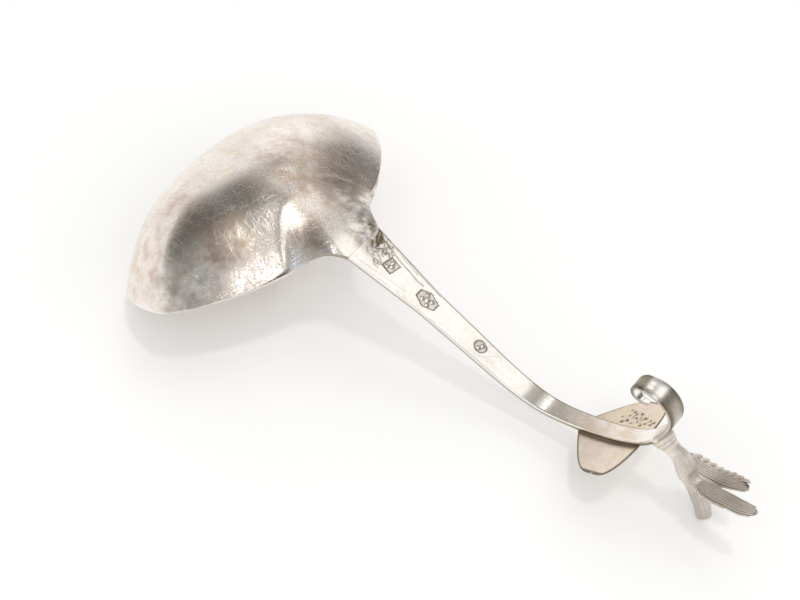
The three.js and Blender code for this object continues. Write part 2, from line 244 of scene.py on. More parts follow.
def rgba(colour: Wire | Triple) -> Wire | tuple[float, ...]:
    """A colour of three numbers as one of four; wires stay as they are."""
    return colour if isinstance(colour, Wire) else (*colour, 1.0)


# Finishes


@dataclass(frozen=True)
class Silver:
    """Hand-worked silver: a base colour, patina in hollows, stains, hairlines, worn places, and
    painted shade, dark reflections and highlights.

    A field of the type Step gives a smooth step's low and high end, and its result at each.
    """

    name: str
    colour: Triple
    stain: Triple
    stain_amount: float
    toning: float
    roughness: float
    cloudiness: float
    hairlines: float
    line_colour: float = 0.34
    # Dark colour of patina, also used to paint shade and dark reflections.
    tarnish_and_shade: Triple = (0.16, 0.13, 0.10)
    tilt: float = 0.0
    grain: float = 0.0
    lengthwise: float = 0.0
    spots: Spots = ()
    blushes: Spots = ()
    bright: Triple = (0.97, 0.95, 0.92)
    straw: Triple = (0.92, 0.80, 0.56)
    rose: Triple = (0.84, 0.69, 0.66)
    broad: Cloud = Cloud(0.045)
    middle: Cloud = Cloud(0.28, 5.0, 0.62)
    fine: Cloud = Cloud(1.9, 4.0, 0.7)
    hue: Cloud = Cloud(0.16)
    broad_stain: Step = (0.42, 0.66, 0.0, 0.6)
    middle_stain: Step = (0.45, 0.75, 0.0, 0.5)
    blush_mottle: Step = (0.35, 0.65, 0.2, 1.2)
    spot_mottle: Step = (0.3, 0.7, 0.0, 1.0)
    hue_step: tuple[float, float] = (0.5, 0.66)
    grime_and_shade_unevenness: tuple[float, float] = (0.5, 0.75)
    worn_bright: float = 0.8
    worn_unstained: float = 0.5
    worn_unscored: float = 0.7
    worn_uncut: float = 0.75
    worn_smooth: float = 0.06
    line_roughness: float = 0.12
    grime_and_shade_roughness: float = 0.25
    roughness_range: tuple[float, float] = (0.08, 0.9)
    line_depth: float = 0.3
    middle_height: float = 0.25
    fine_height: float = 0.03
    bump_strength: float = 0.5
    bump_distance: float = 0.00012
    line_angles: tuple[float, ...] = (24.0, 68.0, 112.0, 158.0, 41.0, 134.0, 5.0)
    line_fineness: tuple[float, ...] = (2.0, 2.7, 3.4, 4.1)
    line_stretch: tuple[float, float] = (0.1, 0.35)
    line_cloud: Cloud = Cloud(1.0, 3.0, 0.65)
    line_step: Step = (0.56, 0.70, 0.0, 0.6)
    long_stretch: Triple = (0.04, 4.0, 0.2)
    long_cloud: Cloud = Cloud(1.0, 3.0, 0.7)
    long_step: tuple[float, float] = (0.5, 0.72)

    def make(self) -> bpy.types.Material:
        """Writes the node material.

        Returns:
            The material.
        """
        material = bpy.data.materials.new(self.name)
        material.use_nodes = True
        bench = Bench(material.node_tree)
        at = bench.place()
        broad, middle = bench.cloud(at, self.broad), bench.cloud(at, self.middle)
        fine, hue = bench.cloud(at, self.fine), bench.cloud(at, self.hue)
        lines = self._hairlines(bench, at)
        # This mark is wear and polish on the bowl, and a painted highlight on the handle's near top
        # edge.
        worn = bench.attribute("wear_and_sheen")
        stained = broad.step(*self.broad_stain) + middle.step(*self.middle_stain)
        blushed = bench.patches(at, self.blushes, middle.step(*self.blush_mottle))
        stained = stained * self.stain_amount + blushed - worn * self.worn_unstained
        # This mark is patina in hollows and cuts, and also painted shade and painted dark
        # reflections.
        spread, least = self.grime_and_shade_unevenness
        dark = bench.attribute("grime_and_shade") * (fine * spread + least)
        dark = dark + bench.patches(at, self.spots, middle.step(*self.spot_mottle))
        colour = bench.blend(worn * self.worn_bright, self.colour, self.bright)
        colour = bench.blend(stained, colour, self.stain)
        colour = bench.blend(hue.step(*self.hue_step) * self.toning, colour, self.straw)
        colour = bench.blend((1.0 - hue).step(*self.hue_step) * self.toning, colour, self.rose)
        scored = lines * self.line_colour * (1.0 - worn * self.worn_unscored)
        colour = bench.blend(scored, colour, self.stain)
        colour = bench.blend(dark, colour, self.tarnish_and_shade)
        rough = self.roughness + (middle - 0.5) * 2.0 * self.cloudiness
        rough = rough + lines * self.line_roughness + dark * self.grime_and_shade_roughness
        smoothest, roughest = self.roughness_range
        rough = (rough - worn * self.worn_smooth).at_least(smoothest).at_most(roughest)
        cut = lines * (1.0 - worn * self.worn_uncut) * (self.hairlines * self.line_depth)
        height = middle * self.middle_height + fine * (self.fine_height + self.grain) - cut
        relief = {"Strength": self.bump_strength, "Distance": self.bump_distance}
        bump = bench.node("ShaderNodeBump", {**relief, "Height": height})
        values = {"Base Color": colour, "Metallic": 1.0, "Roughness": rough, "Normal": bump}
        surface = bench.node("ShaderNodeBsdfPrincipled", values)
        bench.node("ShaderNodeOutputMaterial", {"Surface": surface})
        return material

    def _hairlines(self, bench: Bench, at: Wire) -> Wire:
        """Fine scratches that run in several directions.

        Args:
            bench: The material's tree.
            at: The place on the piece.

        Returns:
            1 on a scratch and 0 beside it.
        """
        total: Wire | float = 0.0
        long, thick = self.line_stretch
        for number, angle in enumerate(self.line_angles):
            fineness = self.line_fineness[number % len(self.line_fineness)]
            shifted = bench.turned(at, (0.0, self.tilt, angle), (long, fineness, thick))
            total = bench.cloud(shifted, self.line_cloud).step(*self.line_step) + total
        if self.lengthwise:
            along = bench.turned(at, (0.0, self.tilt, 0.0), self.long_stretch)
            drawn = bench.cloud(along, self.long_cloud).step(*self.long_step)
            total = drawn * self.lengthwise + total
        return total.at_most(1.0)


# Lines and surfaces


def between(stops: Stops, x: Array | float) -> Array:
    """Value at x on straight lines through the stops."""
    return np.interp(x, [s[0] for s in stops], [s[1] for s in stops])


def smooth(x: Array) -> Array:
    """A smooth step from 0 to 1 for x from 0 to 1."""
    share = np.clip(x, 0.0, 1.0)
    return share * share * (3.0 - 2.0 * share)


def unit(vectors: Array) -> Array:
    """Vectors shortened or drawn out to a length of 1."""
    return vectors / np.linalg.norm(vectors, axis=-1, keepdims=True)


def noise_field(points: Array, length: float, seed: int) -> Array:
    """A gentle unevenness from plane waves of about one length.

    Args:
        points: Places in millimetres.
        length: Length of a wave in millimetres.
        seed: Chooses the waves.

    Returns:
        A number near -1 to 1 at each place.
    """
    waves, shortest, longest = 12, 0.7, 1.5
    chance = np.random.default_rng(seed)
    total = np.zeros(points.shape[:-1])
    for _ in range(waves):
        way = chance.normal(size=3)
        way *= FULL_TURN / (length * chance.uniform(shortest, longest) * np.linalg.norm(way))
        total += np.sin(points @ way + chance.uniform(0.0, FULL_TURN))
    return total / math.sqrt(waves)


class MiddleLine:
    """A smooth line through points, measured along its own length.

    SEARCHED holds the shares of the length at which the line is looked at for a place.
    """

    SAMPLES = 4000
    TANGENT_STEP = 1e-3
    SEARCHED = np.linspace(0.0, 0.8, 6001)

    def __init__(self, points: Sequence[Sequence[float]]) -> None:
        """Draws a centripetal Catmull-Rom curve.

        Args:
            points: Points in millimetres that the line passes through.
        """
        knots = np.array(points, float)
        knots = np.vstack([2 * knots[0] - knots[1], knots, 2 * knots[-1] - knots[-2]])
        spans = len(knots) - 3
        at = np.linspace(0.0, spans, self.SAMPLES + 1)
        index = np.minimum(at.astype(int), spans - 1)
        t = (at - index)[:, None]
        p0, p1, p2, p3 = (knots[index + k] for k in range(4))
        d0, d1, d2 = (
            np.linalg.norm(b - a, axis=1, keepdims=True) ** 0.5
            for a, b in ((p0, p1), (p1, p2), (p2, p3))
        )
        start = ((p1 - p0) / d0 - (p2 - p0) / (d0 + d1) + (p2 - p1) / d1) * d1
        end = ((p2 - p1) / d1 - (p3 - p1) / (d1 + d2) + (p3 - p2) / d2) * d1
        square = (3 * (p2 - p1) - 2 * start - end) * t**2
        self.points = p1 + start * t + square + (2 * (p1 - p2) + start + end) * t**3
        steps = np.linalg.norm(np.diff(self.points, axis=0), axis=1)
        self.lengths = np.concatenate([[0.0], np.cumsum(steps)])
        self.length = float(self.lengths[-1])

    def at(self, share: Array | float) -> Array:
        """Points at shares of the length."""
        along = np.asarray(share) * self.length
        return np.stack([np.interp(along, self.lengths, p) for p in self.points.T], axis=-1)

    def tangent(self, share: Array | float) -> Array:
        """Unit directions at shares of the length."""
        low, high = (np.clip(share + s, 0.0, 1.0) for s in (-self.TANGENT_STEP, self.TANGENT_STEP))
        return unit(self.at(high) - self.at(low))

    def share_at_x(self, x: float) -> float:
        """Share of the length at which the line first passes x."""
        return float(self.SEARCHED[int(np.argmax(self.at(self.SEARCHED)[:, 0] >= x))])


def up_from(tangent: Array) -> Array:
    """The direction square to a tangent, in the upright plane of the handle."""
    return np.stack([-tangent[..., 2], np.zeros(tangent.shape[:-1]), tangent[..., 0]], axis=-1)


# Meshes


def new_object(name: str, mesh: bpy.types.Mesh) -> bpy.types.Object:
    """Puts a mesh into the scene.

    Args:
        name: The object's name.
        mesh: Its mesh.

    Returns:
        The object.
    """
    made = bpy.data.objects.new(name, mesh)
    bpy.context.scene.collection.objects.link(made)
    return made


def to_frame(points: Array) -> Array:
    """Millimetres from the foot as metres in the model's frame."""
    return (np.asarray(points, float) + FOOT_TO_FRAME) * MM


def loft(name: str, rings: Array, marks: dict[str, Array]) -> bpy.types.Object:
    """A closed skin through rings of equal point counts, with a hub at either end.

    Args:
        name: The object's name.
        rings: Points in millimetres from the foot, ring by ring.
        marks: Numbers for each point of each ring, by the name of the mark.

    Returns:
        The object.
    """
    count, sides = rings.shape[:2]
    hubs = np.stack([rings[0].mean(axis=0), rings[-1].mean(axis=0)])
    points = to_frame(np.vstack([rings.reshape(-1, 3), hubs]))
    turns = [(j, (j + 1) % sides) for j in range(sides)]
    hub, top = count * sides, (count - 1) * sides
    faces = [(a + j, a + k, a + k + sides, a + j + sides)
             for a in range(0, top, sides) for j, k in turns]
    for j, k in turns:
        faces += [(k, j, hub), (top + j, top + k, hub + 1)]
    mesh = bpy.data.meshes.new(name)
    mesh.from_pydata(points.tolist(), [], faces)
    made = new_object(name, mesh)
    for key in MARKS:
        values = marks.get(key, np.zeros((count, sides)))
        ends = np.array([values[0].mean(), values[-1].mean()])
        store(mesh, key, np.concatenate([values.reshape(-1), ends]))
    face_outward(mesh)
    return made


def store(mesh: bpy.types.Mesh, name: str, values: Array) -> None:
    """Keeps a number or a vector for each point of a mesh.

    Args:
        mesh: The mesh.
        name: The attribute's name.
        values: One number or one vector a point.
    """
    kind, key = ("FLOAT", "value") if values.ndim == 1 else ("FLOAT_VECTOR", "vector")
    attribute = mesh.attributes.get(name) or mesh.attributes.new(name, kind, "POINT")
    attribute.data.foreach_set(key, values.astype(np.float32).reshape(-1))


def read(mesh: bpy.types.Mesh, name: str, width: int = 1) -> Array:
    """Reads an attribute of a mesh.

    Args:
        mesh: The mesh.
        name: The attribute's name.
        width: 1 for numbers and 3 for vectors.

    Returns:
        The values, one number or one row a point.
    """
    values = np.zeros(len(mesh.vertices) * width, np.float32)
    mesh.attributes[name].data.foreach_get("value" if width == 1 else "vector", values)
    return values.astype(float) if width == 1 else values.reshape(-1, width).astype(float)


def face_outward(mesh: bpy.types.Mesh) -> None:
    """Merges doubles, turns every face outwards and smooths all but sharp edges.

    Args:
        mesh: A closed mesh.
    """
    work = bmesh.new()
    work.from_mesh(mesh)
    bmesh.ops.remove_doubles(work, verts=work.verts, dist=MERGE_DISTANCE)
    bmesh.ops.recalc_face_normals(work, faces=work.faces)
    work.to_mesh(mesh)
    work.free()
    mesh.shade_smooth()
    mesh.set_sharp_from_angle(angle=SHARP_EDGE)


def frozen(source: bpy.types.Object, name: str) -> bpy.types.Object:
    """Turns an object's finished shape into a plain mesh and removes the source.

    Args:
        source: An object with live modifiers.
        name: The new object's name.

    Returns:
        The new object.
    """
    bpy.context.view_layer.update()
    finished = source.evaluated_get(bpy.context.evaluated_depsgraph_get())
    mesh = bpy.data.meshes.new_from_object(finished)
    mesh.name = name
    source.modifiers.clear()
    bpy.data.objects.remove(source)
    return new_object(name, mesh)


def united(name: str, first: bpy.types.Object, second: bpy.types.Object) -> bpy.types.Object:
    """One closed body from two that overlap.

    Args:
        name: The new object's name.
        first: The body that the other joins.
        second: The other body, which is removed.

    Returns:
        The joined body.
    """
    join = first.modifiers.new("join", "BOOLEAN")
    join.operation, join.solver, join.object = "UNION", "EXACT", second
    made = frozen(first, name)
    bpy.data.objects.remove(second)
    face_outward(made.data)
    return made


def joined(name: str, parts: Sequence[bpy.types.Object]) -> bpy.types.Object:
    """Several meshes as one object.

    Args:
        name: The new object's name.
        parts: The objects, which are removed.

    Returns:
        The new object.
    """
    work = bmesh.new()
    for part in parts:
        for key in MARKS:
            if key not in part.data.attributes:
                store(part.data, key, np.zeros(len(part.data.vertices)))
        work.from_mesh(part.data)
        bpy.data.objects.remove(part)
    mesh = bpy.data.meshes.new(name)
    work.to_mesh(mesh)
    work.free()
    face_outward(mesh)
    return new_object(name, mesh)


def seat(piece: bpy.types.Object, material: bpy.types.Material, node: str) -> None:
    """Gives a piece its finish and lets it stand for a CAD node.

    Args:
        piece: The finished piece.
        material: Its material.
        node: The node that it replaces, which is hidden.
    """
    piece.data.materials.clear()
    piece.data.materials.append(material)
    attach(piece, BODY)
    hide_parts(node)
    LOG.info("%s: %d faces", piece.name, len(piece.data.polygons))


def line_object(
    name: str, lines: Sequence[Array], numbers: dict[str, Array], closed: bool = False
) -> bpy.types.Object:
    """Edges through points, with numbers on the points, as the input of a tree.

    Args:
        name: The object's name.
        lines: One array of points, in metres, for each line.
        numbers: Numbers or vectors for all the points in turn.
        closed: Whether each line runs back to its start.

    Returns:
        The object.
    """
    edges: list[tuple[int, int]] = []
    start = 0
    for line in lines:
        last = start + len(line) - 1
        edges += [(i, i + 1) for i in range(start, last)]
        edges += [(last, start)] * closed
        start = last + 1
    mesh = bpy.data.meshes.new(name)
    mesh.from_pydata(np.vstack(lines).tolist(), edges, [])
    for key, values in numbers.items():
        store(mesh, key, values)
    return new_object(name, mesh)


# Geometry node trees


class Tree:
    """A geometry node tree that takes a mesh, a finish and the sizes that it names."""

    def __init__(self, name: str, **sizes: str) -> None:
        """Starts the tree.

        Args:
            name: The tree's name.
            sizes: The socket type of each named input.
        """
        self.tree = bpy.data.node_groups.new(name, "GeometryNodeTree")
        sockets = {"Geometry": "NodeSocketGeometry", **sizes, "Finish": "NodeSocketMaterial"}
        for label, kind in sockets.items():
            self.tree.interface.new_socket(label, in_out="INPUT", socket_type=kind)
        kind = sockets["Geometry"]
        self.tree.interface.new_socket("Geometry", in_out="OUTPUT", socket_type=kind)
        self.bench = Bench(self.tree)
        self.given = self.bench.node("NodeGroupInput")

    def number(self, name: str, kind: str = "FLOAT") -> Wire:
        """What each point of the mesh carries under a name."""
        reader = "GeometryNodeInputNamedAttribute"
        return self.bench.node(reader, {"Name": name}, "Attribute", data_type=kind)

    def end(self, geometry: Wire) -> None:
        """Realizes the instances of what the tree has made, and sets its material.

        Args:
            geometry: What the tree has made.
        """
        real = self.bench.node("GeometryNodeRealizeInstances", {"Geometry": geometry})
        values = {"Geometry": real, "Material": self.given.beside("Finish")}
        self.bench.node("NodeGroupOutput", {0: self.bench.node("GeometryNodeSetMaterial", values)})

    def run(
        self, source: bpy.types.Object, name: str, material: bpy.types.Material, **sizes: object
    ) -> bpy.types.Object:
        """Runs the tree on an object and keeps the plain mesh.

        Args:
            source: The object whose mesh goes in; it is removed.
            name: The result's name.
            material: The finish.
            sizes: A value for each named input.

        Returns:
            The result.
        """
        modifier = source.modifiers.new("tree", "NODES")
        modifier.node_group = self.tree
        inputs = {"Finish": material, **sizes}
        for item in self.tree.interface.items_tree:
            if item.in_out == "INPUT" and item.name in inputs:
                modifier[item.identifier] = inputs[item.name]
        return frozen(source, name)


class SweepTree(Tree):
    """Sweeps a section along a line; both are edge loops that carry their own sizes."""

    def __init__(self) -> None:
        """Builds the tree.

        A point of the result lies at the line's middle, out along Y by its share of the half
        width and along the line's up direction by its share of the half thickness, each with
        a share of the bevel added.
        """
        super().__init__("swept strip", Section="NodeSocketObject")
        bench, number = self.bench, self.number
        line = bench.node("GeometryNodeMeshToCurve", {"Mesh": self.given})
        loop = {"Object": self.given.beside("Section")}
        section = bench.node("GeometryNodeObjectInfo", loop, "Geometry")
        outline = bench.node("GeometryNodeMeshToCurve", {"Mesh": section})
        values = {"Curve": line, "Profile Curve": outline, "Fill Caps": True}
        swept = bench.node("GeometryNodeCurveToMesh", values)
        bevel = number("bevel")
        out = number("across") * number("half_width") + number("across_bevel") * bevel
        over = number("over") * number("half_thickness") + number("over_bevel") * bevel
        raised = bench.scaled(number("up", "FLOAT_VECTOR"), over)
        aside = bench.node("ShaderNodeCombineXYZ", {"Y": out})
        offset = bench.vector("ADD", raised, aside)
        place = bench.vector("ADD", number("middle", "FLOAT_VECTOR"), offset)
        moved = {"Geometry": swept, "Position": place}
        self.end(bench.node("GeometryNodeSetPosition", moved))


class CordTree(Tree):
    """Round cords along lines, each as thick as its points say: barbs and solder."""

    def __init__(self) -> None:
        """Builds the tree."""
        super().__init__("raised cords", Sides="NodeSocketInt")
        line = self.bench.node("GeometryNodeMeshToCurve", {"Mesh": self.given})
        circle = {"Resolution": self.given.beside("Sides"), "Radius": 1.0}
        ring = self.bench.node("GeometryNodeCurvePrimitiveCircle", circle, mode="RADIUS")
        thick = {"Scale": self.number("radius_m"), "Fill Caps": True}
        values = {"Curve": line, "Profile Curve": ring, **thick}
        self.end(self.bench.node("GeometryNodeCurveToMesh", values))

    def lay(
        self,
        name: str,
        cords: Sequence[tuple[Array, Array, Array]],
        sides: int,
        material: bpy.types.Material,
    ) -> bpy.types.Object:
        """Makes cords.

        Args:
            name: The result's name.
            cords: Points, radii and darkening of each, in millimetres from the foot.
            sides: Number of sides of a cord.
            material: Its finish.

        Returns:
            The cords.
        """
        lines, radii, stains = zip(*cords)
        numbers = {"radius_m": np.concatenate(radii) * MM, "grime_and_shade": np.concatenate(stains)}
        source = line_object(name + "_lines", [to_frame(line) for line in lines], numbers)
        return self.run(source, name, material, Sides=sides)


class BeadTree(Tree):
    """A row of beads on the points of a line, each as large as its point says."""

    def __init__(self) -> None:
        """Builds the tree."""
        super().__init__("bead row", Fineness="NodeSocketInt")
        points = self.bench.node("GeometryNodeMeshToPoints", {"Mesh": self.given})
        sphere = {"Radius": 1.0, "Subdivisions": self.given.beside("Fineness")}
        bead = self.bench.node("GeometryNodeMeshIcoSphere", sphere)
        size = self.number("radius_m")
        scale = self.bench.node("ShaderNodeCombineXYZ", {"X": size, "Y": size, "Z": size})
        values = {"Points": points, "Instance": bead, "Scale": scale}
        self.end(self.bench.node("GeometryNodeInstanceOnPoints", values))


# The bowl


@dataclass
class Bowl:
    """The broad round bowl, seen from its back, with the tongue that takes the handle."""

    reach: float = 122.5
    height: float = 13.06
    tilt: float = math.radians(24.2)
    front: float = 31.2
    back: float = 24.5
    half_width: float = 38.67
    front_roundness: float = 2.3
    back_roundness: float = 1.6
    depth: float = 16.7
    fullness: float = 3.1
    rim_sag: float = 3.5
    apex_shift: float = 4.0
    wall: float = 1.0
    rim_band: float = 0.3
    tongue_length: float = 7.2
    tongue_half_width: float = 5.7
    tongue_slope: float = 0.93
    tongue_ease: float = 0.016
    tongue_lift: float = 0.5
    flank: tuple[float, float] = (0.1, 0.045)
    flank_start: tuple[float, float] = (5.7, 2.5)
    flank_reach: float = 10.0
    flare_spread: float = math.radians(12.0)
    tongue_blend: float = 1.0
    blend_from: float = 4.0
    tongue_thinning: float = 1.7
    neck_blend: tuple[float, float] = (0.3, 0.7)
    neck_fillet: float = 8.0
    rim_fillet: float = 0.5
    rim_fillet_from: tuple[float, float] = (6.0, 14.0)
    edge_growth: float = 8.0
    strip_thickness: float = 1.3
    sides: int = 320
    crowding: float = 0.55
    rings: int = 60
    rim_rounding: float = 0.14
    tongue_unrounding: float = 0.85
    rounding_limit: float = 0.45
    rounding_cut: float = 0.29
    wear_lead: int = 3
    rim_wear: tuple[float, ...] = (0.2, 0.5, 0.8, 1.0, 1.0, 1.0, 1.0, 1.0, 1.0, 0.8, 0.4)
    polish_length: float = 9.0
    # Painted shade on the edge band where the tongue runs out, as on the strip's sides.
    edge_tarnish_and_shade: float = 0.6
    hammer_height: float = 0.05
    hammer_length: float = 13.0
    hammer_seed: int = 5
    hammer_fade: float = 12.0

    def angles(self) -> Array:
        """Angles round the bowl, drawn together towards the tongue."""
        even = FULL_TURN * np.arange(self.sides) / self.sides
        return even + self.crowding * np.sin(even)

    def oval(self, angle: Array, inset: float) -> Array:
        """Radius of the oval rim.

        Args:
            angle: Angle from the front.
            inset: How far the wall is set in.

        Returns:
            The radius at each angle.
        """
        ahead = np.cos(angle) > 0
        length = np.where(ahead, self.front, self.back) - inset
        power = np.where(ahead, self.front_roundness, self.back_roundness)
        across = np.abs(np.sin(angle)) / (self.half_width - inset)
        return (np.abs(np.cos(angle) / length) ** power + across**power) ** (-1.0 / power)

    def rim(self, angle: Array) -> Array:
        """Radius of the outer rim, with its flare and the tongue.

        Args:
            angle: Angle from the front.

        Returns:
            The radius at each angle.
        """
        reach = self.back + self.tongue_length
        corner = math.atan2(self.tongue_half_width, reach)
        flare = math.hypot(self.tongue_half_width, reach) - self.back
        aside = np.abs(math.pi - angle)
        grown = self.oval(angle, 0.0) + flare * np.exp((corner - aside) / self.flare_spread)
        return np.where(aside < corner, reach / np.cos(np.minimum(aside, corner)), grown)

    def sheet(self, share: Array, angle: Array, inset: float) -> Array:
        """Points of the back or of the hollow, in the bowl's own directions.

        Args:
            share: Share of the rim radius.
            angle: Angle from the front.
            inset: 0 for the back, or the wall's thickness for the hollow.

        Returns:
            Points as u to the front, v across and w out of the back.
        """
        oval = self.oval(angle, inset)
        radius = share * (self.rim(angle) if inset == 0 else oval)
        cos, sin = np.cos(angle), np.sin(angle)
        length = np.where(cos > 0, self.front, self.back)
        sag = np.minimum(1.0, np.abs(radius * cos) / length) ** 2
        rho = np.minimum(1.0, radius / oval)
        u = radius * cos + self.apex_shift * (1.0 - rho**2)
        v = radius * sin
        dome = self.rim_sag * (1.0 - sag) + (self.depth - inset) * (1.0 - rho**self.fullness)
        along = u + self.back + self.tongue_length
        share_in = np.clip(along / self.flank_reach, 0.0, 1.0)
        start, fall = (
            first + (last - first) * share_in for first, last in (self.flank_start, self.flank)
        )
        tongue = self.tongue_lift + self.tongue_slope * along - self.tongue_ease * along**2
        tongue = tongue - fall * np.maximum(0.0, np.abs(v) - start) ** 2
        if inset:
            tongue = tongue - self.tongue_thinning
        low, high = self.neck_blend
        neck = smooth((-cos - low) / (high - low))
        blend = self.tongue_blend * smooth(along / self.blend_from)
        top = 0.5 * (dome + tongue + np.hypot(dome - tongue, blend))
        near = np.maximum(0.0, 1.0 - np.abs(dome - tongue) / self.neck_fillet)
        first, last = self.rim_fillet_from
        kept = self.rim_fillet * smooth((along - first) / (last - first))
        top = top + self.neck_fillet / 4.0 * near**2 * (1.0 - rho**4 * (1.0 - kept))
        return np.stack([u, v, dome + neck * (top - dome)], axis=-1)

    def placed(self, local: Array) -> Array:
        """Points of the bowl's own directions as millimetres from the foot.

        Args:
            local: Points as u, v and w.

        Returns:
            The points as x, y and z.
        """
        cos, sin = math.cos(self.tilt), math.sin(self.tilt)
        u, v, w = local[..., 0], local[..., 1], local[..., 2]
        x = -self.reach - (u * cos + w * sin)
        return np.stack([x, v, self.height - u * sin + w * cos], axis=-1)

    def out_of_tongue(self) -> tuple[float, float]:
        """Direction in which the tongue leaves the bowl, as shares of -u and -w."""
        angle = math.atan(self.tongue_slope)
        return math.cos(angle), math.sin(angle)

    def build(self, finish: Silver) -> bpy.types.Object:
        """Makes the bowl's shell and dresses it.

        Args:
            finish: The finish of back and hollow.

        Returns:
            The bowl.
        """
        angle = self.angles()
        shares = np.sin(FULL_TURN / 4.0 * np.arange(1, self.rings + 1) / self.rings)
        back = np.stack([self.sheet(s, angle, 0.0) for s in shares])
        hollow = np.stack([self.sheet(s, angle, self.wall) for s in shares[::-1]])
        flare = self.rim(angle) / self.oval(angle, 0.0) - 1.0
        tongue = np.minimum(1.0, flare * self.edge_growth)
        down = self.rim_band + tongue * (self.strip_thickness - self.rim_band)
        out = self.out_of_tongue()
        edge = back[-1].copy()
        edge[:, 0] += down * out[1] * tongue
        edge[:, 2] -= down * (1.0 + tongue * (out[0] - 1.0))
        rounding = (self.rim_rounding * (1.0 - self.tongue_unrounding * tongue))[:, None]
        outer = self._rounded(back[-2], back[-1], edge, rounding)
        inner = self._rounded(back[-1], edge, hollow[0], rounding)
        rings = np.concatenate([back[:-1], outer, inner, hollow])
        worn = np.zeros(len(rings))
        rim = len(back) - 1 - self.wear_lead
        worn[rim : rim + len(self.rim_wear)] = self.rim_wear
        past = rings[..., 0] + self.back + self.tongue_length
        polished = smooth(1.0 - past / self.polish_length) * smooth(2.0 - 2.0 * worn)[:, None]
        grime_and_shade = np.zeros(rings.shape[:2])
        between_sheets = len(rings) - len(back) - len(hollow)
        # Painted shade on the edge band where the tongue runs out.
        grime_and_shade[len(back) : len(back) + between_sheets] = tongue * self.edge_tarnish_and_shade
        marks = {"wear_and_sheen": worn[:, None] * (1.0 - tongue) + polished, "grime_and_shade": grime_and_shade}
        waves = noise_field(self.placed(rings), self.hammer_length, self.hammer_seed)
        outwards = np.concatenate([shares, np.ones(between_sheets), shares[::-1]])
        fade = smooth((1.0 - outwards) * self.hammer_fade)[:, None]
        rings[..., 2] += waves * self.hammer_height * fade
        piece = loft("bowl_shell", self.placed(rings), marks)
        seat(piece, finish.make(), "bowl")
        return piece

    def _rounded(self, before: Array, corner: Array, after: Array, rounding: Array) -> Array:
        """A corner between rings, taken off by a small rounding.

        Args:
            before: Ring before the corner.
            corner: Ring on the corner.
            after: Ring after it.
            rounding: How far the rounding reaches at each point.

        Returns:
            Three rings in place of the corner.
        """
        offsets = []
        for way in (before - corner, after - corner):
            far = np.linalg.norm(way, axis=-1, keepdims=True)
            offsets.append(way * np.minimum(self.rounding_limit, rounding / far))
        first, last = offsets
        middle = corner + (first + last) * self.rounding_cut
        return np.stack([corner + first, middle, corner + last])


# Engraving and stamps on the handle


CURL_POINTS = 15


class Outline(Enum):
    """Shape of a stamped field."""

    SQUARE = "square"
    HEXAGON = "hexagon"
    ROUND = "round"


@dataclass(frozen=True)
class Stamp:
    """A small sunk field with plain bosses in it, each at shares of its half sizes."""

    outline: Outline
    x: float
    y: float
    length: float
    width: float
    bosses: tuple[Triple, ...]
    turn: float = 0.0
    depth: float = 0.16
    hexagon_slant: float = 0.524
    wall: float = 0.22
    rim_offset: float = 0.1
    line_width: float = 0.12
    rim_stain: float = 0.7
    field_stain: float = 0.26
    boss_stain: float = 0.75
    boss_rise: float = 0.9
    boss_foot: float = 1.05

    def press(self, x: Array, y: Array) -> tuple[Array, Array]:
        """Depth and patina that the stamp gives.

        Args:
            x: Places along the handle, in millimetres.
            y: Places across it.

        Returns:
            The depth in millimetres and the tarnish from 0 to 1.
        """
        cos, sin = math.cos(self.turn), math.sin(self.turn)
        a = ((x - self.x) * cos + (y - self.y) * sin) / (self.length / 2.0)
        b = (-(x - self.x) * sin + (y - self.y) * cos) / (self.width / 2.0)
        if self.outline is Outline.ROUND:
            reach = np.hypot(a, b)
        elif self.outline is Outline.SQUARE:
            reach = np.maximum(np.abs(a), np.abs(b))
        else:
            reach = np.maximum(np.abs(b) + np.abs(a) * self.hexagon_slant, np.abs(a))
        outside = (reach - 1.0) * min(self.length, self.width) / 2.0
        sunk = smooth(0.5 - outside / self.wall)
        rim = np.exp(-(((outside + self.rim_offset) / self.line_width) ** 2))
        dark = rim * self.rim_stain + sunk * self.field_stain
        depth = sunk * self.depth
        for u, v, radius in self.bosses:
            far = np.hypot(a - u, (b - v) * self.width / self.length) * self.length / 2.0
            knob = smooth(1.0 - far / radius)
            depth = depth - knob * self.depth * self.boss_rise
            ring = np.exp(-(((far - radius * self.boss_foot) / self.line_width) ** 2))
            dark = np.maximum(dark * (1.0 - knob), ring * sunk * self.boss_stain)
        return depth, dark


@dataclass(frozen=True)
class Stroke:
    """One engraved line through points on the handle."""

    points: tuple[tuple[float, float], ...]
    width: float = 0.13
    depth: float = 0.05
    dark: float = 0.8

    def press(self, x: Array, y: Array) -> tuple[Array, Array]:
        """Depth and patina of the line.

        Args:
            x: Places along the handle, in millimetres.
            y: Places across it.

        Returns:
            The depth in millimetres and the tarnish from 0 to 1.
        """
        nearest = np.full(x.shape, np.inf)
        for (x0, y0), (x1, y1) in zip(self.points, self.points[1:]):
            along, across = x1 - x0, y1 - y0
            share = ((x - x0) * along + (y - y0) * across) / (along**2 + across**2)
            share = np.clip(share, 0.0, 1.0)
            far = np.hypot(x - x0 - share * along, y - y0 - share * across)
            nearest = np.minimum(nearest, far)
        line = np.exp(-((nearest / self.width) ** 2))
        return line * self.depth, line * self.dark


def curl(x: float, y: float, start: float, turn: float, wide: float, tight: float) -> Stroke:
    """An engraved spiral.

    Args:
        x: Its middle along the handle.
        y: Its middle across it.
        start: Angle of its outer end, in degrees.
        turn: Angle that it winds through, in degrees.
        wide: Radius of the outer end.
        tight: Radius of the inner end.

    Returns:
        The stroke.
    """
    shares = np.linspace(0.0, 1.0, CURL_POINTS)
    angle = np.radians(start + turn * shares)
    radius = wide + (tight - wide) * shares
    points = zip(x + radius * np.cos(angle), y + radius * np.sin(angle))
    return Stroke(tuple((float(a), float(b)) for a, b in points))


# The handle


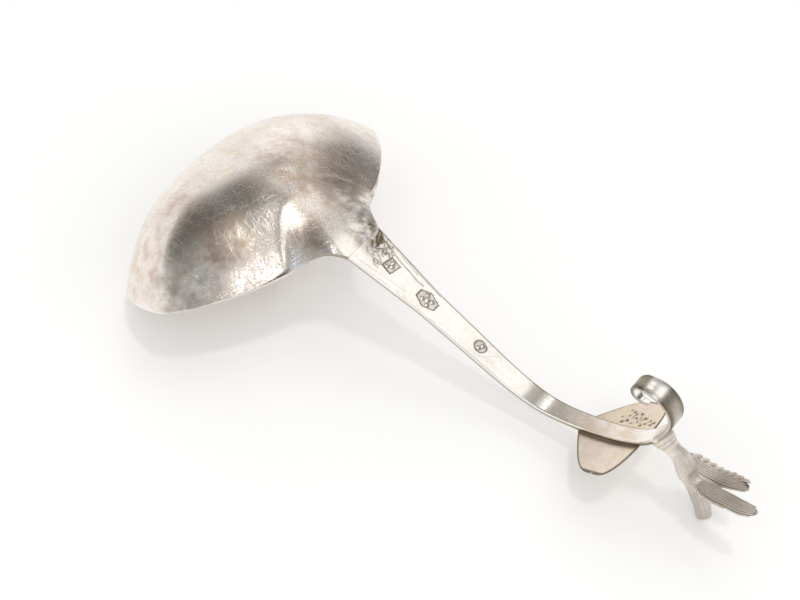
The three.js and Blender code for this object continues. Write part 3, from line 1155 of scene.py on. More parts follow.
@dataclass
class HandleStrip:
    """The flat strip that narrows, bends up and rolls over into a scroll."""

    bowl: Bowl
    thickness: float = 1.3
    bevel: float = 0.35
    bevel_share: float = 0.6
    taper: tuple[float, float] = (-75.0, 3.6)
    narrowest: tuple[float, float] = (-38.0, 2.3)
    scroll_widths: Stops = ((0.0, 2.1), (0.2, 2.45), (0.55, 2.45), (0.68, 2.2), (1.0, 0.5))
    scroll_thicknesses: Stops = ((0.3, 1.0), (1.0, 0.6))
    scroll_centre: tuple[float, float] = (-17.6, 27.4)
    scroll_radius: float = 5.9
    scroll_degrees: tuple[float, ...] = (-14.0, 12.0, 38.0, 64.0, 90.0)
    curl_centre: tuple[float, float] = (-18.8, 30.2)
    curl_radii: tuple[float, float] = (3.2, 2.7)
    curl_degrees: tuple[float, ...] = (125.0, 165.0, 205.0, 245.0, 285.0)
    straight: tuple[float, ...] = (0.0, 0.1, 0.4, 0.7)
    bend: tuple[tuple[float, float], ...] = (
        (-52.9, 9.5), (-47.4, 7.9), (-42.1, 7.2), (-36.9, 7.7), (-31.8, 8.9), (-26.7, 10.6),
        (-21.8, 12.8), (-17.4, 15.8), (-14.2, 19.8),
    )
    fine_until_x: float = -56.0
    fine_step: float = 0.12
    coarse_step: float = 0.3
    underside_steps: int = 3000
    columns: int = 56
    section_side: tuple[tuple[float, float, float, float], ...] = (
        (1.0, -0.22, 1.0, -0.1), (1.0, -0.08, 1.0, -0.45), (1.0, 0.0, 1.0, -1.0),
        (1.0, 0.0, 0.0, 0.0), (1.0, 0.0, -1.0, 0.5), (1.0, -0.15, -1.0, 0.15),
        (1.0, -0.5, -1.0, 0.0), (0.34, 0.0, -1.0, 0.0),
    )
    flat_from: float = 0.99
    upright: float = 0.5
    # Painted dark reflection across the bend: two dark bands with a bright gap for the glint.
    bend_dark_reflection: Stops = (
        (-50.0, 0.0), (-47.5, 0.05), (-46.2, 0.5), (-44.2, 0.55), (-43.2, 0.0), (-41.4, 0.0),
        (-40.4, 0.3), (-39.0, 0.25), (-37.0, 0.04), (-25.0, 0.0),
    )
    # Painted shade on the strip's side faces, darkest where they run over the plate.
    side_painted_shade: Stops = ((-94.0, 0.5), (-50.0, 0.6), (-34.0, 0.65), (-32.0, 0.9), (-17.0, 0.85))
    # Painted dark reflections in bands along the scroll's outer face, at shares of the scroll.
    scroll_dark_reflection: Stops = (
        (0.0, 0.2), (0.26, 0.45), (0.34, 0.65), (0.4, 0.7), (0.45, 0.7), (0.5, 0.6),
        (0.53, 0.0), (0.65, 0.0), (0.67, 0.65), (0.72, 0.85), (0.76, 0.8), (1.0, 0.4),
    )
    # Painted shade along the far top edge of the strip.
    far_edge_shade: float = 0.6
    # Painted dark reflection on the scroll's edges.
    scroll_edge_dark_reflection: float = 0.45
    # Painted highlight along the near top edge of the strip.
    near_edge_highlight: float = 0.7
    line: MiddleLine = field(init=False)
    scroll_share: float = field(init=False)

    def __post_init__(self) -> None:
        """Draws the middle line from the tongue to the tip of the curl."""
        out = self.bowl.out_of_tongue()
        u, _, w = self.bowl.sheet(np.array([1.0]), np.array([math.pi]), 0.0)[0]
        half = self.thickness / 2.0
        start = self.bowl.placed(np.array([u + half * out[1], 0.0, w - half * out[0]]))
        bend = [np.array([x, 0.0, z]) for x, z in self.bend]
        straight = [start + (bend[0] - start) * t for t in self.straight]
        scroll = [
            self._on_circle(self.scroll_centre, self.scroll_radius, degrees)
            for degrees in self.scroll_degrees
        ]
        radii = np.linspace(*self.curl_radii, len(self.curl_degrees))
        rolled = [
            self._on_circle(self.curl_centre, radius, degrees)
            for radius, degrees in zip(radii, self.curl_degrees)
        ]
        self.line = MiddleLine([*straight, *bend, *scroll, *rolled])
        self.scroll_share = self.line.share_at_x(self.bend[-1][0])

    @staticmethod
    def _on_circle(centre: tuple[float, float], radius: float, degrees: float) -> Array:
        """A point on a circle in the upright plane of the handle."""
        angle = math.radians(degrees)
        return np.array(
            [centre[0] + radius * math.cos(angle), 0.0, centre[1] + radius * math.sin(angle)]
        )

    def _in_scroll(self, stops: Stops) -> list[tuple[float, float]]:
        """Stops at shares of the scroll as stops at shares of the whole length."""
        return [(self.scroll_share + (1.0 - self.scroll_share) * s, value) for s, value in stops]

    def half_width(self, share: Array | float) -> Array:
        """Half width of the strip.

        Args:
            share: Shares of the length.

        Returns:
            The half width at each.
        """
        stops = [(0.0, self.bowl.tongue_half_width)]
        stops += [(self.line.share_at_x(x), wide) for x, wide in (self.taper, self.narrowest)]
        return between(stops + self._in_scroll(self.scroll_widths), share)

    def full_thickness(self, share: Array | float) -> Array:
        """Thickness of the strip at shares of its length."""
        stops = self._in_scroll([(0.0, self.thickness), *self.scroll_thicknesses])
        return between([(0.0, self.thickness), *stops], share)

    def underside(self, x: Array) -> Array:
        """Height of the strip's underside straight below its middle line.

        Args:
            x: Places along the handle.

        Returns:
            The height at each.
        """
        shares = np.linspace(0.0, self.scroll_share, self.underside_steps)
        line, way = self.line.at(shares), self.line.tangent(shares)
        low = line[:, 2] - self.full_thickness(shares) / 2.0 / way[:, 0]
        return np.interp(x, line[:, 0], low)

    def _section(self) -> bpy.types.Object:
        """The strip's section as a closed loop of shares and bevels.

        Returns:
            The loop, for the sweep.
        """
        rows = [(c, -c, 1.0, 0.0) for c in np.linspace(-1.0, 1.0, self.columns)]
        rows += self.section_side
        rows += [(-a, -b, c, d) for a, b, c, d in reversed(self.section_side)]
        angle = np.linspace(0.0, FULL_TURN, len(rows), endpoint=False)
        loop = np.stack([np.cos(angle), np.sin(angle), np.zeros_like(angle)], axis=-1) * MM
        names = ("across", "across_bevel", "over", "over_bevel")
        return line_object("strip_section", [loop], dict(zip(names, np.array(rows).T)), True)

    def _stations(self) -> Array:
        """Shares of the length, close together where the handle is engraved.

        Returns:
            The shares, from 0 to 1.
        """
        fine = self.line.share_at_x(self.fine_until_x)
        many = max(2, round(fine * self.line.length / self.fine_step))
        few = max(2, round((1.0 - fine) * self.line.length / self.coarse_step))
        first = np.linspace(0.0, fine, many, endpoint=False)
        return np.concatenate([first, np.linspace(fine, 1.0, few)])

    def build(
        self, sweep: SweepTree, finish: Silver, cuts: Sequence[Stamp | Stroke]
    ) -> bpy.types.Object:
        """Sweeps the strip, presses the stamps and cuts the lines into it.

        Args:
            sweep: The tree that sweeps a section along a line.
            finish: The strip's finish.
            cuts: Stamps and engraved lines.

        Returns:
            The handle.
        """
        share = self._stations()
        middle = to_frame(self.line.at(share))
        half = self.full_thickness(share) / 2.0
        numbers = {
            "middle": middle,
            "up": up_from(self.line.tangent(share)),
            "along": share,
            "half_width": self.half_width(share) * MM,
            "half_thickness": half * MM,
            "bevel": np.minimum(self.bevel, half * self.bevel_share) * MM,
        }
        source = line_object("strip_line", [middle], numbers)
        section = self._section()
        material = finish.make()
        piece = sweep.run(source, "handle_strip_worn", material, Section=section)
        bpy.data.objects.remove(section)
        self._engrave(piece.data, cuts)
        face_outward(piece.data)
        seat(piece, material, "handle_strip")
        return piece

    def _engrave(self, mesh: bpy.types.Mesh, cuts: Sequence[Stamp | Stroke]) -> None:
        """Sinks the top of the strip where it is stamped or cut, and adds patina, painted shade,
        painted dark reflections and a painted highlight.

        Args:
            mesh: The swept strip.
            cuts: Stamps and engraved lines.
        """
        points, up = read(mesh, "position", 3), read(mesh, "up", 3)
        names = ("across", "over", "over_bevel", "along")
        across, over, level, along = (read(mesh, name) for name in names)
        local = points / MM - FOOT_TO_FRAME
        depth, dark = np.zeros(len(points)), np.zeros(len(points))
        for cut in cuts:
            sunk, stained = cut.press(local[:, 0], local[:, 1])
            depth, dark = depth + sunk, np.maximum(dark, stained)
        top = over > self.flat_from
        on = top & (level >= 0.0) & (up[:, 2] > self.upright)
        store(mesh, "position", points - up * (depth * on)[:, None] * MM)
        in_scroll = (along - self.scroll_share) / (1.0 - self.scroll_share)
        straight, edge = in_scroll < 0.0, np.abs(across) > self.flat_from
        # Painted dark reflection across the bend.
        dark = on * (dark + straight * between(self.bend_dark_reflection, local[:, 0]))
        # Painted dark reflections in bands along the scroll's outer face.
        under = (over < -self.flat_from) & (in_scroll > 0.0)
        dark += under * between(self.scroll_dark_reflection, in_scroll)
        # Painted shade on the strip's side faces.
        dark += (edge & ~top & straight) * between(self.side_painted_shade, local[:, 0])
        # Painted shade along the far top edge.
        dark += (edge & top & straight & (across > 0)) * self.far_edge_shade
        # Painted dark reflection on the scroll's edges.
        dark += (edge & ~straight) * self.scroll_edge_dark_reflection
        store(mesh, "grime_and_shade", np.clip(dark, 0.0, 1.0))
        # Painted highlight along the near top edge.
        store(mesh, "wear_and_sheen", (edge & top & (across < 0)) * self.near_edge_highlight)
        for name in ("middle", "half_width", "half_thickness", "bevel", "across", "over"):
            mesh.attributes.remove(mesh.attributes[name])


# The plate under the handle


@dataclass
class SaddlePlate:
    """A thin petal-shaped plate soldered across the underside of the handle."""

    handle: HandleStrip
    half_span: float = 11.8
    back_x: float = -33.2
    front_x: float = -17.4
    sweep: float = 0.62
    rounding: float = 0.005
    skew: float = 0.08
    thickness: float = 0.7
    fullness: float = 4.0
    film: float = 0.02
    rows: int = 120
    end_gap: float = 0.25
    columns: int = 90
    edge_steps: int = 5
    edge_bulge: float = 0.35
    pits: tuple[tuple[float, float], ...] = (
        (-24.6, 7.9), (-23.1, 7.1), (-24.1, 4.7), (-21.8, 4.9), (-19.9, 4.8), (-18.7, 4.7),
        (-24.3, 6.3), (-22.6, 6.0), (-20.6, 6.4), (-25.6, 5.4), (-23.8, 7.6), (-22.0, 7.5),
        (-21.2, 5.6), (-19.2, 5.9), (-25.0, 4.0), (-22.9, 4.3), (-20.7, 4.1), (-18.2, 5.4),
    )
    pit_radii: Triple = (0.238, 0.34, 0.442)
    pit_reach: float = 1.3
    pit_depth: float = 0.12
    pit_stain: float = 0.85
    patch_centre: tuple[float, float] = (-21.8, 5.8)
    patch_size: tuple[float, float] = (4.2, 3.0)
    patch_softness: float = 0.9
    patch_waves: tuple[tuple[float, int], ...] = ((1.2, 21), (0.7, 22))
    patch_stain: float = 0.45
    rim_from: float = 0.945
    rim_fade: float = 0.04
    rim_stain: float = 0.75
    # Painted shadow on the plate beside the strip's near edge: how far it reaches and how dark it
    # is.
    seam_fade: float = 1.6
    seam_painted_shadow: float = 0.7
    # Patina and painted shade on the plate's rounded edges.
    edge_tarnish_and_shade: float = 0.9
    # Painted shade on the plate's underside.
    under_shade: float = 0.3
    solder_from: float = -32.2
    solder_to: float = -18.2
    solder_steps: int = 60
    solder_radius: float = 0.42
    solder_least: float = 0.05
    solder_ease: float = 0.4
    solder_facets: int = 14
    solder_inset: float = 0.12
    solder_sink: float = 0.05
    # Patina on the solder, darker on the near side with painted shade.
    solder_sides: tuple[tuple[float, float], ...] = ((-1.0, 0.85), (1.0, 0.6))
    solder_lumps: tuple[Triple, ...] = ((0.25, 3.0, 11), (0.12, 1.0, 12))

    def build(self, cords: CordTree, finish: Silver) -> bpy.types.Object:
        """Makes the plate with rounded edges, pits and the solder that holds it.

        Args:
            cords: The tree that makes round cords.
            finish: The plate's finish.

        Returns:
            The plate.
        """
        rings, grime_and_shade = [], []
        column = np.linspace(-1.0, 1.0, self.columns + 1)
        turn = np.linspace(0.0, math.pi, self.edge_steps + 2)[1:-1]
        # Patina and painted shade on the rounded edges.
        edge = np.full(self.edge_steps, self.edge_tarnish_and_shade)
        # Painted shade on the underside.
        under = np.full(len(column), self.under_shade)
        for j in range(self.rows + 1):
            turned = math.pi * (j + self.end_gap) / (self.rows + 2.0 * self.end_gap)
            across = -math.cos(turned)
            y = across * self.half_span
            back = self.back_x + self.sweep * abs(y)
            front = self.front_x - self.rounding * y * y
            reach = (1.0 - abs(across) ** self.fullness) ** (1.0 / self.fullness)
            half_length = (front - back) / 2.0 * reach
            x = (front + back) / 2.0 + half_length * column + self.skew * y
            z = self.handle.underside(x) - self.film
            top = np.stack([x, np.full_like(x, y), z], axis=-1)
            low = top[::-1] - np.array([0.0, 0.0, self.thickness])
            bulge = min(self.thickness / 2.0, half_length) * self.edge_bulge
            cap_front = self._cap(top[-1], turn, bulge)
            cap_back = self._cap(top[0], turn[::-1], -bulge)
            pit = self._pitted(x, y)
            top[:, 2] -= pit * self.pit_depth
            rings.append(np.concatenate([top, cap_front, low, cap_back]))
            near_rim = np.maximum(np.abs(column), abs(across))
            grime_and_shade.append(np.concatenate([self._stained(top, pit, near_rim), edge, under, edge]))
        material = finish.make()
        plate = loft("saddle_plate_bare", np.stack(rings), {"grime_and_shade": np.stack(grime_and_shade)})
        piece = joined("saddle_plate_worn", [plate, self._solder(cords, material)])
        seat(piece, material, "saddle_plate")
        return piece

    def _stained(self, top: Array, pit: Array, near_rim: Array) -> Array:
        """Patina of one row of the upper face, with a painted shadow beside the strip's near edge.

        Args:
            top: The row's points.
            pit: How deep in a pit each lies.
            near_rim: How far out each lies, 1 on the rim.

        Returns:
            The darkening from 0 to 1.
        """
        x, y = top[:, 0], top[0, 1]
        rim = smooth((near_rim - self.rim_from) / self.rim_fade) * self.rim_stain
        dark = np.maximum(rim, pit * self.pit_stain)
        mottled = sum(noise_field(top, length, seed) for length, seed in self.patch_waves)
        away = ((at - c) / s for at, c, s in zip((x, y), self.patch_centre, self.patch_size))
        beside = smooth(1.0 - np.hypot(*away) * self.patch_softness)
        dark = np.maximum(dark, beside * smooth(mottled) * self.patch_stain)
        # Painted shadow beside the strip's near edge.
        if y < 0:
            past = -y - float(self.handle.half_width(self.handle.scroll_share))
            dark = np.maximum(dark, smooth(1.0 - past / self.seam_fade) * self.seam_painted_shadow)
        return dark

    def _pitted(self, x: Array, y: float) -> Array:
        """How deep in a pit each point lies.

        Args:
            x: Places along the handle.
            y: Place across it.

        Returns:
            Numbers from 0 to 1.
        """
        deep = np.zeros_like(x)
        for number, (pit_x, pit_y) in enumerate(self.pits):
            radius = self.pit_radii[number % len(self.pit_radii)]
            far = np.hypot(x - pit_x, y - pit_y) / radius
            deep = np.maximum(deep, smooth(self.pit_reach - far))
        return deep

    def _solder(self, cords: CordTree, material: bpy.types.Material) -> bpy.types.Object:
        """Lumpy solder along both edges of the handle's underside.

        Args:
            cords: The tree that makes round cords.
            material: The plate's material.

        Returns:
            The solder.
        """
        made = []
        x = np.linspace(self.solder_from, self.solder_to, self.solder_steps)
        shares = np.array([self.handle.line.share_at_x(float(a)) for a in x])
        along = np.linspace(0.0, 1.0, self.solder_steps)
        ends = np.sin(math.pi * along) ** self.solder_ease
        # The near solder is darker: patina with painted shade.
        for way, stain in self.solder_sides:
            y = way * (self.handle.half_width(shares) - self.solder_inset)
            line = np.stack([x, y, self.handle.underside(x) - self.solder_sink], axis=-1)
            lump = 1.0 + sum(
                share * noise_field(line, length, seed) for share, length, seed in self.solder_lumps
            )
            radius = np.maximum(self.solder_least, self.solder_radius * lump * ends)
            made.append((line, radius, np.full(self.solder_steps, stain)))
        return cords.lay("solder", made, self.solder_facets, material)

    def _cap(self, corner: Array, turn: Array, bulge: float) -> Array:
        """The rounded edge below one end of a row.

        Args:
            corner: The row's last point on the upper face.
            turn: Angles round the edge.
            bulge: How far the edge stands out, with its direction.

        Returns:
            The points of the edge.
        """
        down = self.thickness / 2.0 * (1.0 - np.cos(turn))
        return corner + np.stack([np.sin(turn) * bulge, np.zeros_like(turn), -down], axis=-1)


# The cast end ornament


def oval_ring(centre: Array, side: Array, over: Array, wide: Array, deep: Array) -> Array:
    """Rings of a tube about a line of centres.

    Args:
        centre: Centres, one a ring.
        side: Unit directions to the side.
        over: Unit directions square to them.
        wide: Half widths for each angle of each ring.
        deep: Half depths for each angle of each ring.

    Returns:
        The rings.
    """
    angle = FULL_TURN * np.arange(wide.shape[1]) / wide.shape[1]
    aside = side[:, None, :] * (wide * np.cos(angle))[..., None]
    return centre[:, None, :] + aside + over[:, None, :] * (deep * np.sin(angle))[..., None]


@dataclass
class Ornament:
    """Collar, body and foot prong of the casting, with fluted skins."""

    handle: HandleStrip
    collar_x: float = -14.3
    collar_length: float = 4.6
    collar_overlap: float = 0.9
    collar_knots: tuple[float, ...] = (1.0, 2.6)
    seam_overlap: float = 0.1
    collar_widths: Stops = ((0.0, 2.25), (1.0, 1.7))
    collar_depths: Stops = ((0.0, 3.4), (0.3, 3.15), (0.72, 1.7))
    moulding_height: float = 0.13
    moulding_width: float = 0.05
    mouldings: tuple[float, ...] = (0.09, 0.27)
    groove_stain: float = 0.3
    groove_width: float = 0.03
    grooves: tuple[float, ...] = (0.0, 0.18, 0.37)
    darkest: float = 0.9
    trunk_lead: float = 1.2
    trunk_line: tuple[Triple, ...] = ((-5.4, 0.0, 12.5), (-2.0, 0.0, 12.1), (1.6, 0.0, 12.7))
    trunk_widths: Stops = ((0.0, 1.7), (0.35, 3.0), (0.6, 2.6), (1.0, 0.7))
    trunk_depths: Stops = ((0.0, 1.7), (0.35, 1.9), (0.6, 1.2), (1.0, 0.5))
    prong_line: tuple[Triple, ...] = (
        (-7.0, 0.0, 13.0), (-5.2, 0.0, 10.6), (-3.2, 0.0, 7.4), (-1.7, 0.3, 4.0), (-0.4, 0.7, 0.0),
    )
    foot_turn: float = math.radians(40.0)
    prong_widths: Stops = ((0.3, 1.9), (0.85, 1.95), (1.0, 1.62))
    prong_depths: Stops = ((0.0, 1.4), (0.3, 1.3), (0.55, 1.0), (1.0, 0.9))
    # Darker towards the bottom of the prong.
    prong_darkening: float = 0.22
    prong_top: float = 11.0
    prong_fade: float = 3.0
    trunk_flute: float = 0.07
    prong_flute: float = 0.056
    flute_stain: float = 0.4
    flutes: int = 24
    shallowest_flute: float = 0.25
    sides: int = 192
    steps: int = 90

    def _along(self, *distances: float) -> list[Array]:
        """Points on the collar's axis.

        Args:
            distances: Distances from the strip's face.

        Returns:
            The points.
        """
        share = self.handle.line.share_at_x(self.collar_x)
        out = -up_from(self.handle.line.tangent(share))
        root = self.handle.line.at(share) + out * float(self.handle.full_thickness(share)) / 2.0
        return [root + out * distance for distance in distances]

    def _tube(
        self,
        points: Sequence[Sequence[float]],
        wide: Stops,
        deep: Stops,
        flute: float = 0.0,
        swell: Callable[[Array], Array] = np.zeros_like,
        turn: float = 0.0,
    ) -> tuple[Array, Array]:
        """A fluted tube along a line.

        Args:
            points: Points of the line.
            wide: Half widths at shares of the length.
            deep: Half depths at shares of the length.
            flute: Depth of the flutes.
            swell: Extra radius at shares of the length.
            turn: Angle that the section turns through towards the end.

        Returns:
            The rings and the patina of each point.
        """
        line = MiddleLine(points)
        share = np.linspace(0.0, 1.0, self.steps)
        way = line.tangent(share)
        up = up_from(way)
        side = unit(np.cross(up, way))
        lift = up * np.sign(side[:, 1:2]) * np.sin(turn * share**2)[:, None]
        side = unit(side * np.cos(turn * share**2)[:, None] + lift)
        over = unit(np.cross(way, side))
        number = np.arange(self.sides) * self.flutes / self.sides
        wave = np.abs(np.sin(number * math.pi))
        uneven = np.random.default_rng(self.flutes).uniform(self.shallowest_flute, 1.0, self.flutes)
        dent = (1.0 - wave) ** 2 * uneven[np.round(number).astype(int) % self.flutes]
        extra = swell(share)[:, None] - dent * flute
        half_wide, half_deep = (between(stops, share)[:, None] + extra for stops in (wide, deep))
        grime_and_shade = np.ones((self.steps, 1)) * dent * (self.flute_stain if flute else 0.0)
        return oval_ring(line.at(share), side, over, half_wide, half_deep), grime_and_shade

    def build_collar(self, finish: Silver) -> bpy.types.Object:
        """Makes the collar with the mouldings round its mouth.

        Args:
            finish: The casting's finish.

        Returns:
            The collar.
        """
        mouth = self.collar_overlap / (self.collar_overlap + self.collar_length)

        def rings_at(share: Array, places: Sequence[float], width: float) -> Array:
            """Soft rings round the collar, 1 at their middles, at places past the mouth."""
            return sum(np.exp(-(((share - mouth - place) / width) ** 2)) for place in places)

        def swell(share: Array) -> Array:
            """The raised mouldings."""
            return self.moulding_height * rings_at(share, self.mouldings, self.moulding_width)

        end = self.collar_length + self.seam_overlap
        knots = self._along(-self.collar_overlap, *self.collar_knots, end)
        rings, grime_and_shade = self._tube(knots, self.collar_widths, self.collar_depths, swell=swell)
        share = np.linspace(0.0, 1.0, self.steps)
        grooves = self.groove_stain * rings_at(share, self.grooves, self.groove_width)
        marks = {"grime_and_shade": np.minimum(grime_and_shade + grooves[:, None], self.darkest)}
        piece = loft("neck_collar_worn", rings, marks)
        seat(piece, finish.make(), "neck_collar")
        return piece

    def build_body(self, finish: Silver) -> bpy.types.Object:
        """Makes the body that runs on from the collar, and its foot prong.

        Args:
            finish: The casting's finish.

        Returns:
            The body.
        """
        start = self.collar_length - self.seam_overlap
        trunk, trunk_grime = self._tube(
            [*self._along(start, start + self.trunk_lead), *self.trunk_line],
            self.trunk_widths, self.trunk_depths, self.trunk_flute,
        )
        prong, prong_grime = self._tube(
            self.prong_line, self.prong_widths, self.prong_depths, self.prong_flute,
            turn=self.foot_turn,
        )
        prong[-1, :, 2] = 0.0
        prong[..., 2] = np.maximum(prong[..., 2], 0.0)
        first = loft("trunk", trunk, {"grime_and_shade": trunk_grime})
        second = loft("prong", prong, {"grime_and_shade": prong_grime})
        piece = united("ornament_body_worn", first, second)
        height = read(piece.data, "position", 3)[:, 2] / MM
        # Darker towards the bottom of the prong.
        low = smooth((self.prong_top - height) / self.prong_fade)
        store(piece.data, "grime_and_shade", read(piece.data, "grime_and_shade") + low * self.prong_darkening)
        seat(piece, finish.make(), "ornament_body")
        return piece


@dataclass
class Wing:
    """A feathered blade: a thin core under round barbs that end one after another."""

    name: str
    node: str
    points: tuple[Triple, ...]
    ends: tuple[float, ...]
    half_width: float = 2.1
    thickness: float = 1.3
    lean: float = 0.25
    outline: Stops = ((0, 0.55), (0.12, 0.9), (0.35, 1.0), (0.75, 0.95), (0.92, 0.7), (1, 0.3))
    section: Stops = ((0, 0.8), (0.2, 1.0), (0.8, 0.8), (1, 0.5))
    core_size: Triple = (0.97, 0.8, 0.62)
    core_steps: int = 40
    core_stain: float = 0.85
    cord_sides: int = 12
    barb_steps: int = 36
    barb_stain: float = 0.07
    barb_fill: float = 0.96
    barb_tip: float = 0.12
    barb_least: float = 0.02
    barb_flattest: float = 0.96
    barb_fade: float = 6.0
    barb_unevenness: tuple[float, float] = (0.5, 2.4)
    barb_spread: float = 1.04
    beads: tuple[float, float, int, float] | None = None
    bead_shrink: float = 0.35
    bead_inset: float = 0.1
    bead_rise: float = 0.2
    bead_fineness: int = 2
    crest: tuple[float, float, int] | None = None
    crest_length: float = 0.13
    crest_out: tuple[float, float] = (0.6, 1.1)
    crest_radius: float = 0.42
    crest_rise: float = 0.25
    crest_shape: tuple[float, float] = (0.2, 0.98)
    crest_steps: int = 12

    def _frame(self, share: Array) -> tuple[Array, Array, Array]:
        """Middle line, side direction and over direction of the blade.

        Args:
            share: Shares of the length.

        Returns:
            Points, unit side directions and unit over directions.
        """
        line = MiddleLine(self.points)
        way = line.tangent(share)
        side = unit(np.cross(way, unit(np.array([0.0, -self.lean, 1.0]))))
        return line.at(share), side, np.cross(side, way)

    def _wide(self, share: Array) -> Array:
        """Half width of the blade at shares of its length."""
        return self.half_width * between(self.outline, share)

    def _half_thickness(self, share: Array) -> Array:
        """Half thickness of the blade at shares of its length."""
        return self.thickness / 2.0 * between(self.section, share)

    def build(self, cords: CordTree, beads: BeadTree, finish: Silver) -> bpy.types.Object:
        """Makes the blade's core, its barbs, beads and crest as one piece.

        Args:
            cords: The tree that makes round cords.
            beads: The tree that makes a row of beads.
            finish: The casting's finish.

        Returns:
            The wing.
        """
        material = finish.make()
        made = [self._core(), self._barbs(cords, material)]
        if self.beads:
            made.append(self._bead_row(beads, material))
        if self.crest:
            made.append(self._crest_row(cords, material))
        piece = joined(self.name, made)
        seat(piece, material, self.node)
        return piece

    def _core(self) -> bpy.types.Object:
        """The thin blade that the barbs lie on.

        Returns:
            The blade.
        """
        long, wide, deep = self.core_size
        share = np.linspace(0.0, 1.0, self.core_steps)
        ones = np.ones(self.core_steps)
        half_wide = np.outer(self._wide(share) * wide, ones)
        half_deep = np.outer(self._half_thickness(share) * deep, ones)
        rings = oval_ring(*self._frame(share * long), half_wide, half_deep)
        marks = {"grime_and_shade": np.full(rings.shape[:2], self.core_stain)}
        return loft(self.name + "_core", rings, marks)

    def _barbs(self, cords: CordTree, material: bpy.types.Material) -> bpy.types.Object:
        """Round barbs side by side along both faces of the blade.

        Args:
            cords: The tree that makes round cords.
            material: The casting's material.

        Returns:
            The barbs.
        """
        count, made = len(self.ends), []
        swing, turn = self.barb_unevenness
        for number, end in enumerate(self.ends):
            lateral = 2.0 * (number + 0.5) / count - 1.0
            along = np.linspace(0.0, 1.0, self.barb_steps)
            share = along * end
            middle, side, over = self._frame(share)
            wide, thick = self._wide(share), self._half_thickness(share)
            arch = np.sqrt(1.0 - min(abs(lateral), self.barb_flattest) ** 2)
            past = ((along - 1.0) / self.barb_tip + 1.0).clip(0.0)
            tip = np.sqrt(np.clip(1.0 - past**2, self.barb_least, 1.0))
            radius = np.minimum(wide / count * self.barb_fill, thick) * tip
            aside = side * (wide - radius)[:, None] * lateral * self.barb_spread
            rise = over * (thick * arch - radius).clip(0.0)[:, None]
            stain = self.barb_stain * (1.0 + swing * math.cos(turn * number))
            grime_and_shade = stain * smooth((1.0 - along) * self.barb_fade)
            made += [(middle + aside + face * rise, radius, grime_and_shade) for face in (1.0, -1.0)]
        return cords.lay(self.name + "_barbs", made, self.cord_sides, material)

    def _crest_row(self, cords: CordTree, material: bpy.types.Material) -> bpy.types.Object:
        """Short barbs whose tips stand out of the far edge one after another.

        Args:
            cords: The tree that makes round cords.
            material: The casting's material.

        Returns:
            The crest.
        """
        along, made = np.linspace(0.0, 1.0, self.crest_steps), []
        first, last = self.crest_out
        shape = np.linspace(*self.crest_shape, self.crest_steps)
        radius = self.crest_radius * np.sqrt(np.sin(math.pi * shape))
        for start in np.linspace(*self.crest):
            share = np.minimum(1.0, start + self.crest_length * along)
            middle, side, over = self._frame(share)
            out = np.sign(side[:, 1]) * self._wide(share) * (first + (last - first) * along)
            line = middle + side * out[:, None] + over * self.crest_rise
            made.append((line, radius, np.zeros_like(radius)))
        return cords.lay(self.name + "_crest", made, self.cord_sides, material)

    def _bead_row(self, beads: BeadTree, material: bpy.types.Material) -> bpy.types.Object:
        """A row of beads along the near edge.

        Args:
            beads: The tree that makes a row of beads.
            material: The casting's material.

        Returns:
            The beads.
        """
        first, last, count, radius = self.beads
        share = np.linspace(first, last, count)
        middle, side, over = self._frame(share)
        out = -np.sign(side[:, 1]) * (self._wide(share) - self.bead_inset)
        size = radius * (1.0 - self.bead_shrink * np.linspace(0.0, 1.0, count)) * MM
        points = to_frame(middle + side * out[:, None] + over * self.bead_rise)
        source = line_object(self.name + "_points", [points], {"radius_m": size})
        name = self.name + "_beads"
        return beads.run(source, name, material, Fineness=self.bead_fineness)


# Studio


def direction(azimuth: float, elevation: float) -> Triple:
    """A unit direction from angles in degrees; azimuth 0 is -Y and 90 is +X."""
    a, e = math.radians(azimuth), math.radians(elevation)
    return math.sin(a) * math.cos(e), -math.cos(a) * math.cos(e), math.sin(e)


@dataclass(frozen=True)
class Patch:
    """A round patch of the surroundings, in degrees, with its own brightness."""

    azimuth: float
    elevation: float
    inner: float
    outer: float
    level: float


@dataclass(frozen=True)
class Lamp:
    """One soft round lamp that faces the spoon, in degrees, metres and watts."""

    name: str
    azimuth: float
    elevation: float
    distance: float
    size: float
    power: float
    colour: Triple = (1.0, 1.0, 1.0)

    def hang(self) -> None:
        """Hangs the lamp."""
        data = bpy.data.lights.new(self.name, "AREA")
        data.shape, data.size, data.energy, data.color = "DISK", self.size, self.power, self.colour
        lamp = bpy.data.objects.new(self.name, data)
        bpy.context.scene.collection.objects.link(lamp)
        to = np.array(direction(self.azimuth, self.elevation))
        side = unit(np.cross(np.array([0.0, 1.0, 0.0]), to))
        turn = Matrix([side, np.cross(to, side), to]).transposed().to_4x4()
        lamp.matrix_world = Matrix.Translation(to * self.distance) @ turn


